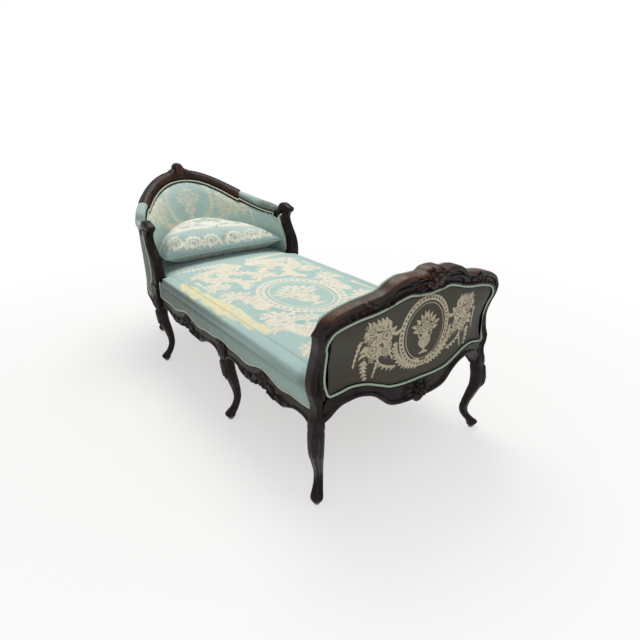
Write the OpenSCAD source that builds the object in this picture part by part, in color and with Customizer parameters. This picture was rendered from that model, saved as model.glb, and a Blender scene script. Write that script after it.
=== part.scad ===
// Fainting couch: a carved walnut daybed with a low shaped footboard and a rounded, raked head end.
// The seat, both faces of the footboard, the inside and outside of the head end and the two arms
// are upholstered, and one loose pillow lies in the head end.
// The long axis is X with the footboard at +X, Z is up and the floor is at z = 0. Left is +Y.

/* [Seat frame] */
// Distance between the foot legs and the head legs
seat_l = 1300; // [1150:10:1450]
// Half the width over the side rails
rail_half_w = 388; // [350:2:420]
// Height of the top of the seat rails
rail_top_z = 404; // [394:1:416]
// Height of the show wood of the seat rails, where the cover starts
show_z = 336; // [330:1:342]
// Height of the hump in the middle of each bay of the show wood
show_wave = 22; // [14:1:26]
// Height of the lower edge of the seat rails
rail_low_z = 305; // [300:1:312]
// Drop of the carved lobes under the seat rails
lobe_drop = 28; // [10:1:30]
// Thickness of the seat rails
rail_t = 34; // [30:1:38]
// Depth of the step in the rails that the cover is nailed in
rebate = 8; // [7:0.5:10]
// Distance of the middle legs from the foot legs
mid_leg_x = 623; // [560:1:680]
// Height of a cross rail
cross_h = 46; // [30:1:50]
// Thickness of a cross rail
cross_t = 30; // [24:1:36]
// Length of a corner block's two glued sides
block_side = 58; // [48:1:70]
// Height of a corner block
block_h = 40; // [30:1:44]
// Diameter of a corner block's screw
screw_d = 5; // [4:0.5:6]
// Length of a corner block's screw
screw_l = 46; // [42:1:50]

/* [Legs] */
// Height of the cabriole curve, from the floor to the seat rail
leg_h = 285; // [275:1:288]
// How far the ankle of a foot leg swings in from the knee
leg_swing = 27; // [18:1:30]
// How far the ankle of a middle or head leg swings in from the knee
side_swing = 35; // [30:1:48]
// Half the thickness of a leg at the knee
knee_half = 26; // [24:0.5:27]
// Half the thickness of a leg at the ankle
ankle_half = 14.5; // [13:0.5:16]
// Length of a middle or head leg's block along the rail
leg_block_l = 65; // [60:1:70]
// Depth of a middle or head leg's block across the rail
leg_block_t = 48; // [46:1:52]
// Thickness of the glide under each foot
glide_h = 10; // [6:1:12]
// Diameter of the glide
glide_d = 20; // [16:1:22]
// Diameter of the glide's stem
stem_d = 8; // [6:0.5:9]
// Length of the glide's stem inside the leg
stem_l = 22; // [14:1:26]

/* [Footboard] */
// Distance of the footboard's outer face beyond the foot legs, at the corners
foot_out = 15; // [8:1:20]
// Thickness of the footboard's frame
foot_t = 42; // [38:1:46]
// How far the footboard bows outward in its middle
foot_bow = 52; // [30:1:60]
// Outward lean of the footboard from the rail to the crest
foot_lean = 10; // [4:1:16]
// How far the crest rail rolls outward above the panel
crest_roll = 12; // [6:1:20]
// Half the width over the footboard's posts
foot_half_w = 398; // [386:1:410]
// Width of a footboard post
foot_post_w = 41; // [38:1:44]
// How far the posts' sides draw in at the seat rail, above the knee
post_waist = 12; // [4:1:13]
// How far the posts' sides swell outward below the crest rail
post_wave = 14; // [8:1:18]
// Height at which the crest rail sits on the posts
foot_joint_z = 600; // [590:1:610]
// Height of the footboard's crest rail in the middle, under the flower
foot_crest_z = 742; // [730:1:755]
// How far the carved flower stands above the crest rail
flower_up = 18; // [8:1:24]
// How far the carved flower stands out from the crest rail
flower_out = 10; // [4:1:14]
// Lowest point of the lower rail
foot_low_z = 292; // [286:1:298]
// Rise of the arches beside the lower rail's middle
arch_rise = 78; // [60:1:82]
// Lowest point of the outer panel's piping
panel_low_z = 373; // [368:1:378]
// Rise of the outer panel's lower edge on each side
panel_rise = 41; // [30:1:44]
// Radius of the piping
welt_r = 4.3; // [3.2:0.1:4.5]

/* [Head end] */
// Depth of the rounded head end behind the head legs, at seat height
head_depth = 467; // [430:1:500]
// How much wider the head end is than the seat rails, on each side
arm_spread = 16; // [12:1:18]
// Squareness of the head end in plan, where 2 is an ellipse
head_square = 2.2; // [2.1:0.05:2.3]
// Lean of the back from the seat to the crest
back_rake = 121; // [90:1:140]
// Height of the crest rail in the middle of the back
crest_z = 851; // [820:1:880]
// Height of the arm pads at their front ends
arm_z = 679; // [672:1:690]
// Height of the arm's scroll
scroll_z = 700; // [696:1:708]
// Height at which the arm's scroll sits on its support
support_z = 658; // [652:1:662]
// How far the arm support sways back and forth
arm_sway = 47; // [36:1:50]
// Height of the crest rail's section
crest_h = 48; // [42:1:54]
// Thickness of the crest rail's section
crest_t = 42; // [38:1:44]
// Height of the carved flower above the crest rail
crest_flower_up = 38; // [20:1:44]
// Angle in plan from the middle of the back to the ends of the crest rail
crest_half_a = 45; // [43:0.5:48]
// Angle in plan from the middle of the back to the front ends of the arm pads
arm_pad_a = 77; // [74:0.5:78]
// Angle in plan from the middle of the back to the rear legs
rear_leg_a = 38; // [34:0.5:39]
// Width of a rear post
rear_post_w = 42; // [36:1:46]
// Height of the wooden arm rail under the pad
arm_rail_h = 22; // [18:1:26]
// Height of the arm pad above its rail
arm_pad_h = 36; // [30:1:38]
// How far the arm pad bulges past the outside of the arm
arm_pad_out = 12; // [6:1:14]

/* [Upholstery] */
// Thickness of a cover with its lining
cover_t = 5; // [4:0.25:5.5]
// Clearance between soft pieces and their neighbours
gap = 0.4; // [0.3:0.05:0.6]
// Height of the seat pad's edge above the hessian
pad_edge_h = 34; // [30:1:40]
// Height of the seat pad's crown above its edge
pad_crown_h = 20; // [12:1:24]
// Thickness of the inside back pad in the middle of the back
back_pad_t = 38; // [30:1:42]
// Thickness of the inside pad on the arms
side_pad_t = 16; // [12:1:18]
// Thickness of the footboard's inside pad
foot_pad_t = 40; // [30:1:44]
// Width of a webbing strap
strap_w = 50; // [40:1:54]
// Thickness of the webbing
strap_t = 1.6; // [1.2:0.1:2]
// Thickness of the hessian
hessian_t = 1.2; // [1:0.1:1.6]

/* [Pillow] */
// Height of the pillow's crown above its seam
pillow_up = 90; // [70:1:100]
// Drop of the crown at the pillow's left end
pillow_drop = 44; // [0:1:50]
// Rise of the crown at the pillow's right end, where it leans on the arm
pillow_rise = 50; // [0:1:60]
// Height of the seam above the seat's crown, at the front
pillow_low = 48; // [36:1:56]
// Rise of the seam from the front to the back of the pillow
pillow_seam_rise = 34; // [10:1:44]
// Depth of the pillow from front to back
pillow_d = 366; // [320:1:372]
// Half the width of the pillow between its front corners
pillow_half_w = 322; // [300:1:324]
// Distance of the pillow's front edge behind the head legs' line
pillow_back = 20; // [10:1:26]

/* [Hidden] */

wood = "#2b1d1a";
aqua = "#a9cfcc";
olive = "#45473f";
cream = "#c9ccba";
linen = "#b59f78";
steel = "#8a8a86";

foot_steps = 28;
bay_steps = 28;
head_steps = 26;
back_steps = 11;
arm_steps = 12;
tube_sides = 5;
corner_share = 0.28;
leg_corner_share = 0.55;

// Sums and means of points, and the direction that a ring of points faces
function total(v) = [for (k = [0:2]) [for (p = v) p[k]] * [for (p = v) 1]];
function middle(r) = total(r) / len(r);
function facing(r) = let (c = middle(r), n = len(r))
    total([for (j = [0:n - 1]) cross(r[j] - c, r[(j + 1) % n] - c)]);
function mix(a, b, u) = a + (b - a) * u;

// A smooth curve through a table of [place, value] pairs
function span(t, x, i = 0) = i >= len(t) - 2 || x < t[i + 1][0] ? i : span(t, x, i + 1);
function slope(t, i) = let (a = t[max(i - 1, 0)], b = t[min(i + 1, len(t) - 1)])
    (b[1] - a[1]) / (b[0] - a[0]);
function curve(t, x) = let (i = span(t, x), a = t[i], b = t[i + 1], w = b[0] - a[0],
        u = (min(max(x, t[0][0]), b[0]) - a[0]) / w, v = 1 - u)
    a[1] * (1 + 2 * u) * v * v + slope(t, i) * w * u * v * v
    + b[1] * u * u * (1 + 2 * v) - slope(t, i + 1) * w * u * u * v;

// A solid through rings of points, with triangles between them. Its ends are closed by a fan, or by
// rungs between the two sides of a thin ring.
module loft(rings, closed = false, rungs = false) {
    n = len(rings[0]);
    m = len(rings);
    turn = facing(rings[0]) * (middle(rings[1]) - middle(rings[0])) < 0;
    points = [for (r = rings, j = [0:n - 1]) r[turn ? (n - j) % n : j]];
    sides = [for (i = [0:m - (closed ? 1 : 2)], j = [0:n - 1])
        let (a = i * n, b = ((i + 1) % m) * n, k = (j + 1) % n)
        each [[a + j, b + k, a + k], [a + j, b + j, b + k]]];
    top = (m - 1) * n;
    cap = rungs
        ? [for (j = [0:n / 2 - 2]) each [[j, j + 1, n - 2 - j], [j, n - 2 - j, n - 1 - j]]]
        : [for (j = [1:n - 2]) [0, j, j + 1]];
    ends = closed ? [] : [for (f = cap) each [f, [top + f[2], top + f[1], top + f[0]]]];
    polyhedron(points = points, faces = concat(sides, ends), convexity = 6);
}

// A round tube along a path. The list of sideways directions keeps its rings from twisting.
function unit(v) = v / norm(v);
function tube(path, away, r, closed = false) = let (n = len(path))
    [for (i = [0:n - 1]) let (
        a = path[closed ? (i + n - 1) % n : max(i - 1, 0)],
        b = path[closed ? (i + 1) % n : min(i + 1, n - 1)],
        t = unit(b - a), s = unit(away[i] - (away[i] * t) * t), c = cross(t, s))
        [for (k = [0:tube_sides - 1]) let (w = 360 * (k + 0.5) / tube_sides)
            path[i] + r * (cos(w) * s + sin(w) * c)]];

// A rectangle with cut corners, level at height z
function block_ring(x0, x1, y0, y1, z, cut = corner_share) = let (c = cut * min(x1 - x0, y1 - y0) / 2)
    [[x1, y0 + c, z], [x1, y1 - c, z], [x1 - c, y1, z], [x0 + c, y1, z],
     [x0, y1 - c, z], [x0, y0 + c, z], [x0 + c, y0, z], [x1 - c, y0, z]];

// The footboard's outer face leans, bows out in the middle and rolls outward at the top. Its inner
// face leans and bows without the roll, and is flat across the posts.
foot_in_y = foot_half_w - foot_post_w;
foot_y = foot_half_w - foot_post_w / 2;
post_bow = foot_bow * (1 - pow(foot_y / foot_half_w, 2));
function foot_tilt(z) = foot_out + foot_lean * (z - rail_top_z) / (foot_joint_z - rail_top_z);
function foot_face(y, z) = foot_tilt(z) + foot_bow * (1 - pow(y / foot_half_w, 2))
    + crest_roll * pow(max(0, (z - foot_joint_z) / (foot_crest_z - foot_joint_z)), 2);
function foot_in(y, z) = foot_tilt(z) + post_bow - foot_t
    + (foot_bow - post_bow) * (1 - pow(min(1, abs(y) / foot_in_y), 2));
post_back_x = foot_in(foot_y, rail_top_z);

// Sides of a footboard post from the rail to the crest rail
post_out_shares = [[0, 0], [0.2, -0.25], [0.45, -0.3], [0.7, 0.4], [0.88, 0.95], [1, 1]];
post_in_shares = [[0, 0], [0.2, 0.2], [0.45, 0.1], [0.7, 0.35], [0.86, 0.9], [1, 0.3]];
function post_u(z) = (z - rail_top_z) / (foot_joint_z - rail_top_z);
function post_out_y(z) = foot_half_w + post_wave * curve(post_out_shares, post_u(z));
function post_in_y(z) = foot_in_y + post_wave * curve(post_in_shares, post_u(z));
crest_end_y = post_out_y(foot_joint_z);
crest_in_y = post_in_y(foot_joint_z);
crest_tenon_y = (crest_in_y + crest_end_y) / 2;

// Top of the crest rail, top and bottom of the panel, and underside of the lower rail
crest_top_shares = [[0, 1], [0.2, 1], [0.27, 1], [0.36, 0.915], [0.45, 0.76], [0.54, 0.7],
    [0.67, 0.634], [0.79, 0.535], [0.89, 0.41], [0.945, 0.29], [0.985, 0.13], [1, 0.05]];
flower_shares = [[0, 1], [0.06, 0.85], [0.11, 0.2], [0.14, 0], [1, 0]];
panel_top_shares = [[0, 0.479], [0.166, 0.528], [0.24, 0.549], [0.34, 0.493], [0.44, 0.408],
    [0.57, 0.324], [0.72, 0.268], [0.845, 0.19], [0.93, 0.113], [0.975, 0.042], [1, -0.028]];
panel_low_shares = [[0, 0], [0.17, -0.04], [0.28, 0], [0.375, 0.12], [0.445, 0.37], [0.53, 0.66],
    [0.6, 0.88], [0.7, 1], [0.78, 0.98], [0.87, 0.78], [0.945, 0.63], [1, 0.58]];
arch_shares = [[0, 0], [0.17, 0.02], [0.3, 0.09], [0.38, 0.25], [0.46, 0.6], [0.55, 0.86],
    [0.63, 0.97], [0.7, 1], [0.78, 0.93], [0.86, 0.8], [0.93, 0.5], [1, 0.03]];
crest_rise = foot_crest_z - foot_joint_z;
function crest_line(y) = foot_joint_z + crest_rise * curve(crest_top_shares, abs(y) / crest_end_y);
function flower_at(y) = curve(flower_shares, abs(y) / crest_end_y);
function crest_top(y) = crest_line(y) + flower_up * flower_at(y);
function panel_top(y) = foot_joint_z + crest_rise * curve(panel_top_shares, abs(y) / crest_in_y);
function panel_low(y) = panel_low_z + panel_rise * curve(panel_low_shares, abs(y) / foot_in_y);
function arch_z(y) = foot_low_z + arch_rise * curve(arch_shares, abs(y) / foot_in_y);
function steep(a, b, w) = sqrt(1 + pow((b - a) / w, 2));
function welt_off(y, top) = (welt_r + gap) * (top
    ? steep(panel_top(y - gap), panel_top(y + gap), 2 * gap)
    : steep(panel_low(y - gap), panel_low(y + gap), 2 * gap));

// Head end in plan, at height z, at depth t inside the outer face, at angle a from the back's middle
head_x = -seat_l;
lean_z = rail_top_z + pad_edge_h;
plan_power = 2 / head_square;
function head_d(z) = head_depth + back_rake * max(0, z - lean_z) / (crest_z - lean_z);
arm_side_y = rail_half_w + arm_spread;
arm_in_t = leg_block_t * 7 / 8;
function head_pt(a, t, z) = [head_x - (head_d(z) - t) * pow(max(0, cos(a)), plan_power),
    sign(a) * (arm_side_y - t) * pow(abs(sin(a)), plan_power), z];
function head_a(back, t, z) = acos(pow(min(1, max(0, back) / (head_d(z) - t)), 1 / plan_power));
top_power = 2.2;
function top_z(a) = arm_z + (crest_z - arm_z)
    * pow(max(0, cos(min(abs(a) * 90 / arm_pad_a, 90))), top_power);

// Blocks of the middle and head legs, and the tenons of the rails
block_in_y = rail_half_w + rebate / 2 - leg_block_t + rebate / 4;
block_out_y = block_in_y + leg_block_t;
head_out_y = arm_side_y + rebate / 4;
head_in_y = block_in_y + 3 * rebate / 4;
leg_side = leg_block_l / 2;
head_leg_x = head_x - glide_h / 2;
head_block_back = head_leg_x - leg_side;
head_block_front = head_leg_x + leg_side;
rail_mid_y = rail_half_w - rail_t / 2;
tenon_l = leg_block_t / 4;
tenon_t = rail_t / 3;
tenon_h = leg_block_t;
tenon_z = show_z + tenon_h / 2;
module tenon_x(x, y, fit = 0) translate([x, y, tenon_z])
    cube([2 * (tenon_l + fit), tenon_t + 2 * fit, tenon_h + 2 * fit], center = true);
module tenon_y(x, y, fit = 0) translate([x, y, tenon_z])
    cube([tenon_t + 2 * fit, 2 * (tenon_l + fit), tenon_h + 2 * fit], center = true);

module placed() translate([mid_x, 0, 0]) children();
module other_side() mirror([0, 1, 0]) children();

// Cabriole legs: [height, swing of a foot leg, swing of a side leg, thickness] shares from the floor
// to the knee, where a swing of -1 is the full swing inward
leg_shares = [[0, 0.05, 0.1, 0.05], [0.03, 0.09, 0.14, 0.36], [0.065, 0.03, 0.08, 0.42],
    [0.13, -0.45, -0.4, 0.16], [0.2, -0.8, -0.7, 0.02], [0.28, -0.9, -0.9, 0], [0.37, -0.75, -0.9, 0.07],
    [0.46, -0.5, -0.78, 0.25], [0.56, -0.22, -0.58, 0.48], [0.65, 0.05, -0.36, 0.74],
    [0.75, 0.17, -0.16, 0.94], [0.85, 0.16, -0.04, 0.98], [0.93, 0.05, 0, 0.86]];
function leg_z(s) = glide_h + s * (leg_h - glide_h);
function thick(half, s) = ankle_half + (half - ankle_half) * s;

module stem_bore(x, y) translate([x, y, glide_h - gap])
    cylinder(h = stem_l + 2 * gap, d = stem_d + gap, $fn = 24);

// Footboard posts: leg and post are one piece up to the crest rail
foot_mid_x = post_back_x + foot_t / 2;
foot_toe_x = foot_mid_x + leg_swing * leg_shares[0][1];
foot_toe_y = foot_y + leg_swing * leg_shares[0][1];
waist_shares = [[0, 0.1], [0.2, 0.25], [0.42, 0.9], [0.64, 1], [0.85, 0.3], [1, 0]];
post_tenon = foot_t / 3;
module foot_post() {
    leg = [for (s = leg_shares) let (w = thick(knee_half, s[3]), x = foot_mid_x + s[1] * leg_swing,
            y = foot_y + s[1] * leg_swing)
        block_ring(x - w, x + w, y - w, y + w, leg_z(s[0]), leg_corner_share)];
    knee = [for (s = waist_shares) let (w = post_waist * s[1], z = mix(leg_h, rail_top_z, s[0]))
        block_ring(post_back_x, post_back_x + foot_t - w / 4, foot_in_y, foot_half_w - w, z)];
    post = [for (i = [1:9]) let (z = mix(rail_top_z, foot_joint_z, i / 9), x = foot_face(foot_y, z))
        block_ring(x - foot_t, x, post_in_y(z), post_out_y(z), z)];
    color(wood) difference() {
        union() {
            loft(concat(leg, knee, post));
            translate([foot_face(foot_y, foot_joint_z) - foot_t / 2, crest_tenon_y, foot_joint_z])
                cube([post_tenon, 2 * post_tenon, 2 * post_tenon], center = true);
        }
        tenon_x(post_back_x, rail_mid_y, gap / 2);
        tenon_y(foot_mid_x, foot_in_y, gap / 2);
        stem_bore(foot_toe_x, foot_toe_y);
    }
}
module foot_post_left() placed() foot_post();
module foot_post_right() placed() other_side() foot_post();

// Crest rail of the footboard, with its carved flower in the middle
ring_crowding = 1.25;
module foot_crest_rail() {
    function low(y) = abs(y) >= crest_in_y ? foot_joint_z
        : max(foot_joint_z, panel_top(y) + welt_off(y, true));
    ring_y = [for (i = [-foot_steps:foot_steps]) let (u = i / foot_steps)
        sign(u) * crest_end_y * (1 - pow(1 - abs(u), ring_crowding))];
    rings = [for (y = ring_y) let (z0 = low(y), z1 = crest_top(y), h = z1 - z0, c = min(h, foot_t) / 4,
            out = flower_out * flower_at(y))
        [[foot_face(y, z1) - foot_t / 2, y, z1],
         [foot_face(y, z1) - c + out, y, z1 - c / 3],
         [foot_face(y, z1 - c) + out, y, z1 - c],
         [foot_face(y, z0 + h / 2) + out, y, z0 + h / 2],
         [foot_face(y, z0), y, z0 + c / 3],
         [foot_face(y, z0) - c / 3, y, z0],
         [foot_in(y, z0), y, z0],
         [foot_in(y, z0 + h / 2), y, z0 + h / 2],
         [foot_in(y, z1 - c), y, z1 - c],
         [foot_in(y, z1) + c, y, z1 - c / 3]]];
    color(wood) placed() difference() {
        loft(rings);
        for (s = [-1, 1]) translate([foot_face(foot_y, foot_joint_z) - foot_t / 2, s * crest_tenon_y,
                foot_joint_z])
            cube([post_tenon + gap, 2 * post_tenon + gap, 2 * post_tenon + gap], center = true);
    }
}

// Lower rail of the footboard, shaped below and stepped for the outer panel
module foot_lower_rail() {
    step = panel_set + cover_t + gap;
    rings = [for (i = [-foot_steps:foot_steps]) let (y = foot_in_y * i / foot_steps,
            x1 = foot_face(y, rail_top_z), x0 = foot_in(y, rail_top_z), z0 = arch_z(y), c = foot_t / 8,
            zs = panel_low(y) - welt_off(y, false))
        [[foot_face(y, zs) - step, y, zs], [x1, y, zs], [x1, y, z0 + c], [x1 - c, y, z0],
         [x0 + c, y, z0], [x0, y, z0 + c], [x0, y, rail_top_z], [x1 - step, y, rail_top_z]]];
    color(wood) placed() union() {
        loft(rings);
        for (s = [-1, 1]) tenon_y(foot_mid_x, s * foot_in_y);
    }
}

// Middle and head legs, each with a block between the side rails
function toe_y(out_y) = out_y - knee_half + leg_shares[0][2] * side_swing;
module block_leg(x, in_y, out_y, ledge_z) {
    leg = [for (s = leg_shares) let (wx = thick(leg_side, s[3]), wy = thick(knee_half, s[3]),
            y = out_y - knee_half + s[2] * side_swing)
        block_ring(x - wx, x + wx, y - wy, y + wy, leg_z(s[0]), leg_corner_share)];
    low = [for (i = [0:4])
        block_ring(x - leg_side, x + leg_side, in_y, out_y, mix(leg_h, ledge_z, i / 4))];
    high = ledge_z < rail_top_z ? [for (z = [ledge_z + gap / 2, rail_top_z])
        block_ring(x - leg_side, x + leg_side, in_y, rail_half_w - rebate, z)] : [];
    loft(concat(leg, low, high));
}
function mid_ledge_z() = show_z + show_wave * ledge_share;

module mid_leg() color(wood) difference() {
    block_leg(-mid_leg_x, block_in_y, block_out_y, mid_ledge_z());
    for (s = [-1, 1]) tenon_x(-mid_leg_x + s * leg_side, rail_mid_y, gap / 2);
    tenon_y(-mid_leg_x, block_in_y, gap / 2);
    stem_bore(-mid_leg_x, toe_y(block_out_y));
}
module mid_leg_left() placed() mid_leg();
module mid_leg_right() placed() other_side() mid_leg();

support_tenon = leg_block_t / 3;
support_y = (head_in_y + head_out_y) / 2;
round_mid_y = arm_side_y - rail_t / 2;
module head_leg() color(wood) difference() {
    block_leg(head_leg_x, head_in_y, head_out_y, rail_top_z);
    tenon_x(head_block_front, rail_mid_y, gap / 2);
    tenon_x(head_block_back, round_mid_y, gap / 2);
    tenon_y(head_leg_x, head_in_y, gap / 2);
    translate([head_leg_x, support_y, rail_top_z])
        cube(support_tenon + gap, center = true);
    stem_bore(head_leg_x, toe_y(head_out_y));
}
module head_leg_left() placed() head_leg();
module head_leg_right() placed() other_side() head_leg();

// Side rails: shaped show wood below and a stepped back board above
ledge_share = 0.8;
show_shares = [[-1, ledge_share], [-0.92, 0.5], [-0.62, 0.35], [-0.4, 0], [0, 1.1], [0.4, 0],
    [0.62, 0.35], [0.86, 0.3], [1, 0.45]];
lobe_shares = [[0, 0.2], [0.1, 0.5], [0.2, 0.62], [0.33, 0.93], [0.45, 1], [0.56, 0.55],
    [0.7, 0.05], [0.85, 0], [0.94, 0.25], [1, 0.75]];
foot_bay = [-mid_leg_x + leg_side, post_back_x];
head_bay = [head_block_front, -mid_leg_x - leg_side];
function bay_u(bay, x) = (2 * x - bay[0] - bay[1]) / (bay[1] - bay[0]);
function bay_show(bay, x) = show_z
    + show_wave * curve(show_shares, bay_u(bay, x) * (bay[1] < -mid_leg_x ? -1 : 1));
function bay_low(bay, x) = rail_low_z - lobe_drop * curve(lobe_shares, abs(bay_u(bay, x)));
function show_line(x) = x > foot_bay[0] ? bay_show(foot_bay, x)
    : x < head_bay[1] ? bay_show(head_bay, x)
    : mid_ledge_z() + gap;
function bay_x(bay) = [for (i = [0:bay_steps]) mix(bay[0], bay[1], i / bay_steps)];

// A board that stands along X between two heights, from y0 to y1
module board(low, high, y0, y1) translate([0, y1, 0]) rotate([90, 0, 0])
    linear_extrude(y1 - y0) polygon(concat(low, [for (i = [len(high) - 1:-1:0]) high[i]]));

module side_rail(bay, screws) {
    xs = bay_x(bay);
    low = [for (x = xs) [x, bay_low(bay, x)]];
    color(wood) difference() {
        union() {
            board(low, [[bay[0], rail_top_z], [bay[1], rail_top_z]], rail_half_w - rail_t,
                rail_half_w - rebate);
            board(low, [for (x = xs) [x, bay_show(bay, x)]], rail_half_w - rebate, rail_half_w);
            for (x = bay) tenon_x(x, rail_mid_y);
        }
        for (x = screws) screw_hole(x);
    }
}
module side_rail_foot_left() placed() side_rail(foot_bay, [screw_x(-mid_leg_x, 1)]);
module side_rail_foot_right() placed() other_side() side_rail(foot_bay, [screw_x(-mid_leg_x, 1)]);
module side_rail_head_left() placed()
    side_rail(head_bay, [screw_x(-mid_leg_x, -1), screw_x(head_leg_x, 1)]);
module side_rail_head_right() placed() other_side()
    side_rail(head_bay, [screw_x(-mid_leg_x, -1), screw_x(head_leg_x, 1)]);

// Cross rails between the leg blocks
module cross_rail(x, end_y) color(wood) placed() union() {
    translate([x, 0, tenon_z]) cube([cross_t, 2 * end_y, cross_h], center = true);
    for (s = [-1, 1]) tenon_y(x, s * end_y);
}
module cross_rail_mid() cross_rail(-mid_leg_x, block_in_y);
module cross_rail_head() cross_rail(head_leg_x, head_in_y);

// A block sits beside each leg's block, against the rail, and its screw runs across into the rail.
screw_share = 0.38;
rail_in_y = rail_half_w - rail_t;
head_share = 0.6;
head_h = screw_d * head_share;
seat_y = rail_in_y - screw_l + rail_t / 2 - gap;
function screw_x(x, s) = x + s * (leg_side + block_side * screw_share);
module screw_hole(x) translate([x, rail_in_y - rebate, tenon_z]) rotate([-90, 0, 0])
    cylinder(h = rail_t / 2 + rebate, d = screw_d + gap, $fn = 24);
module corner_block(x, s) difference() {
    translate([x + s * leg_side, rail_in_y, tenon_z - block_h / 2]) linear_extrude(block_h)
        polygon([[0, 0], [s * block_side, 0], [0, -block_side]]);
    translate([screw_x(x, s), seat_y, tenon_z]) rotate([-90, 0, 0])
        cylinder(h = screw_l, d = screw_d + gap, $fn = 24);
    translate([screw_x(x, s), seat_y + gap / 2, tenon_z]) rotate([90, 0, 0])
        cylinder(h = screw_l, d = 2 * screw_d + gap, $fn = 24);
}
corners = [[-mid_leg_x, 1], [-mid_leg_x, -1], [head_leg_x, 1]];
module corner_blocks() color(wood) placed() for (m = [0, 1]) mirror([0, m, 0])
    for (c = corners) corner_block(c[0], c[1]);
module screw(x, s) translate([screw_x(x, s), seat_y + gap / 2, tenon_z]) rotate([-90, 0, 0]) {
    cylinder(h = screw_l - gap, d = screw_d, $fn = 24);
    translate([0, 0, -head_h]) cylinder(h = head_h, d = 2 * screw_d, $fn = 24);
}
module block_screws() color(steel) placed() for (m = [0, 1]) mirror([0, m, 0])
    for (c = corners) screw(c[0], c[1]);

// Rear posts: a splayed leg, a block in the seat rails and a raked post up to the crest rail
rear_a = rear_post_w / 2 / head_depth * 180 / PI;
rear_t = rail_t - rebate / 2;
// [height, swing, thickness] shares of a rear leg
rear_shares = [[0, 0.9, 0.1], [0.05, 0.95, 0.3], [0.12, 0.6, 0.2], [0.28, 0, 0], [0.5, -0.25, 0.2],
    [0.75, -0.1, 0.6], [0.95, 0, 0.9]];
function crest_low(a) = top_z(a) - crest_h;
function arc_ring(half_a, t0, t1, z, cut = corner_share) = let (c = cut / 2)
    [for (p = [[0, c], [0, 1 - c], [c, 1], [1 - c, 1], [1, 1 - c], [1, c], [1 - c, 0], [c, 0]])
        let (a = rear_leg_a + (2 * p[0] - 1) * half_a)
        head_pt(a, mix(t0, t1, p[1]), is_undef(z) ? crest_low(a) - gap : z)];
rear_toe = head_pt(rear_leg_a, rail_t / 2 - leg_swing * rear_shares[0][1], glide_h);
module rear_post() {
    leg = [for (s = rear_shares) let (o = rail_t / 2 - leg_swing * s[1], w = thick(rail_t / 2, s[2]),
            wa = rear_a * thick(rear_post_w / 2, s[2]) / (rear_post_w / 2))
        arc_ring(wa, o - w, o + w, leg_z(s[0]), leg_corner_share)];
    block = [for (z = [leg_h, show_z]) arc_ring(rear_a, 0, rail_t, z)];
    over = [for (z = [show_z + gap / 2, rail_top_z]) arc_ring(rear_a, rebate, rail_t, z)];
    up = [for (i = [0:4]) arc_ring(rear_a, rebate, rear_t,
        mix(rail_top_z + gap, crest_low(rear_leg_a), i / 5))];
    color(wood) difference() {
        loft(concat(leg, block, over, up, [arc_ring(rear_a, rebate, rear_t)]));
        stem_bore(rear_toe[0], rear_toe[1]);
    }
}
module rear_post_left() placed() rear_post();
module rear_post_right() placed() other_side() rear_post();

// Seat rails round the head end, stepped for the outside cover. Between the angles a0 and a1 their
// show wood rises in a low hump.
round_shares = [[0, 0.75], [0.06, 0.25], [0.15, 0], [0.32, 0.1], [0.5, 0.75], [0.68, 0.1],
    [0.85, 0], [0.94, 0.25], [1, 0.75]];
hump_share = 0.6;
seam_a = 0.03;
side_a0 = rear_leg_a + rear_a + seam_a;
back_a0 = rear_leg_a - rear_a - seam_a;
block_a = head_a(head_x - head_block_back, 0, show_z);
function hump_z(u) = show_z + show_wave * hump_share * pow(sin(180 * min(1, max(0, u))), 2);
function round_show(a) = abs(a) < back_a0 ? hump_z((a / back_a0 + 1) / 2)
    : hump_z((abs(a) - side_a0) / (block_a - side_a0));
function round_ring(a, u) = let (z0 = rail_low_z - lobe_drop * curve(round_shares, u), c = rail_t / 6,
        zs = hump_z(u))
    [for (p = [[rebate, zs], [0, zs], [0, z0 + c], [c, z0], [rail_t - c, z0], [rail_t, z0 + c],
            [rail_t, rail_top_z], [rebate, rail_top_z]])
        head_pt(is_undef(a) ? mix(side_a0, head_a(head_x - head_block_back, p[0], show_z), u) : a,
            p[0], p[1])];
module head_rail() color(wood) union() {
    loft([for (i = [0:16]) round_ring(undef, i / 16)]);
    tenon_x(head_block_back, round_mid_y);
}
module head_rail_left() placed() head_rail();
module head_rail_right() placed() other_side() head_rail();
module head_rail_back() color(wood) placed()
    loft([for (i = [0:24]) round_ring(mix(-back_a0, back_a0, i / 24), i / 24)]);

// A glide under each foot, with its stem in the leg
module glide(p) translate([p[0], p[1], 0]) {
    cylinder(h = glide_h - gap / 2, d = glide_d, $fn = 24);
    cylinder(h = glide_h + stem_l, d = stem_d, $fn = 24);
}
module foot_glides() color(steel) placed() for (m = [0, 1]) mirror([0, m, 0]) {
    glide([foot_toe_x, foot_toe_y]);
    glide([-mid_leg_x, toe_y(block_out_y)]);
    glide([head_leg_x, toe_y(head_out_y)]);
    glide(rear_toe);
}

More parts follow.
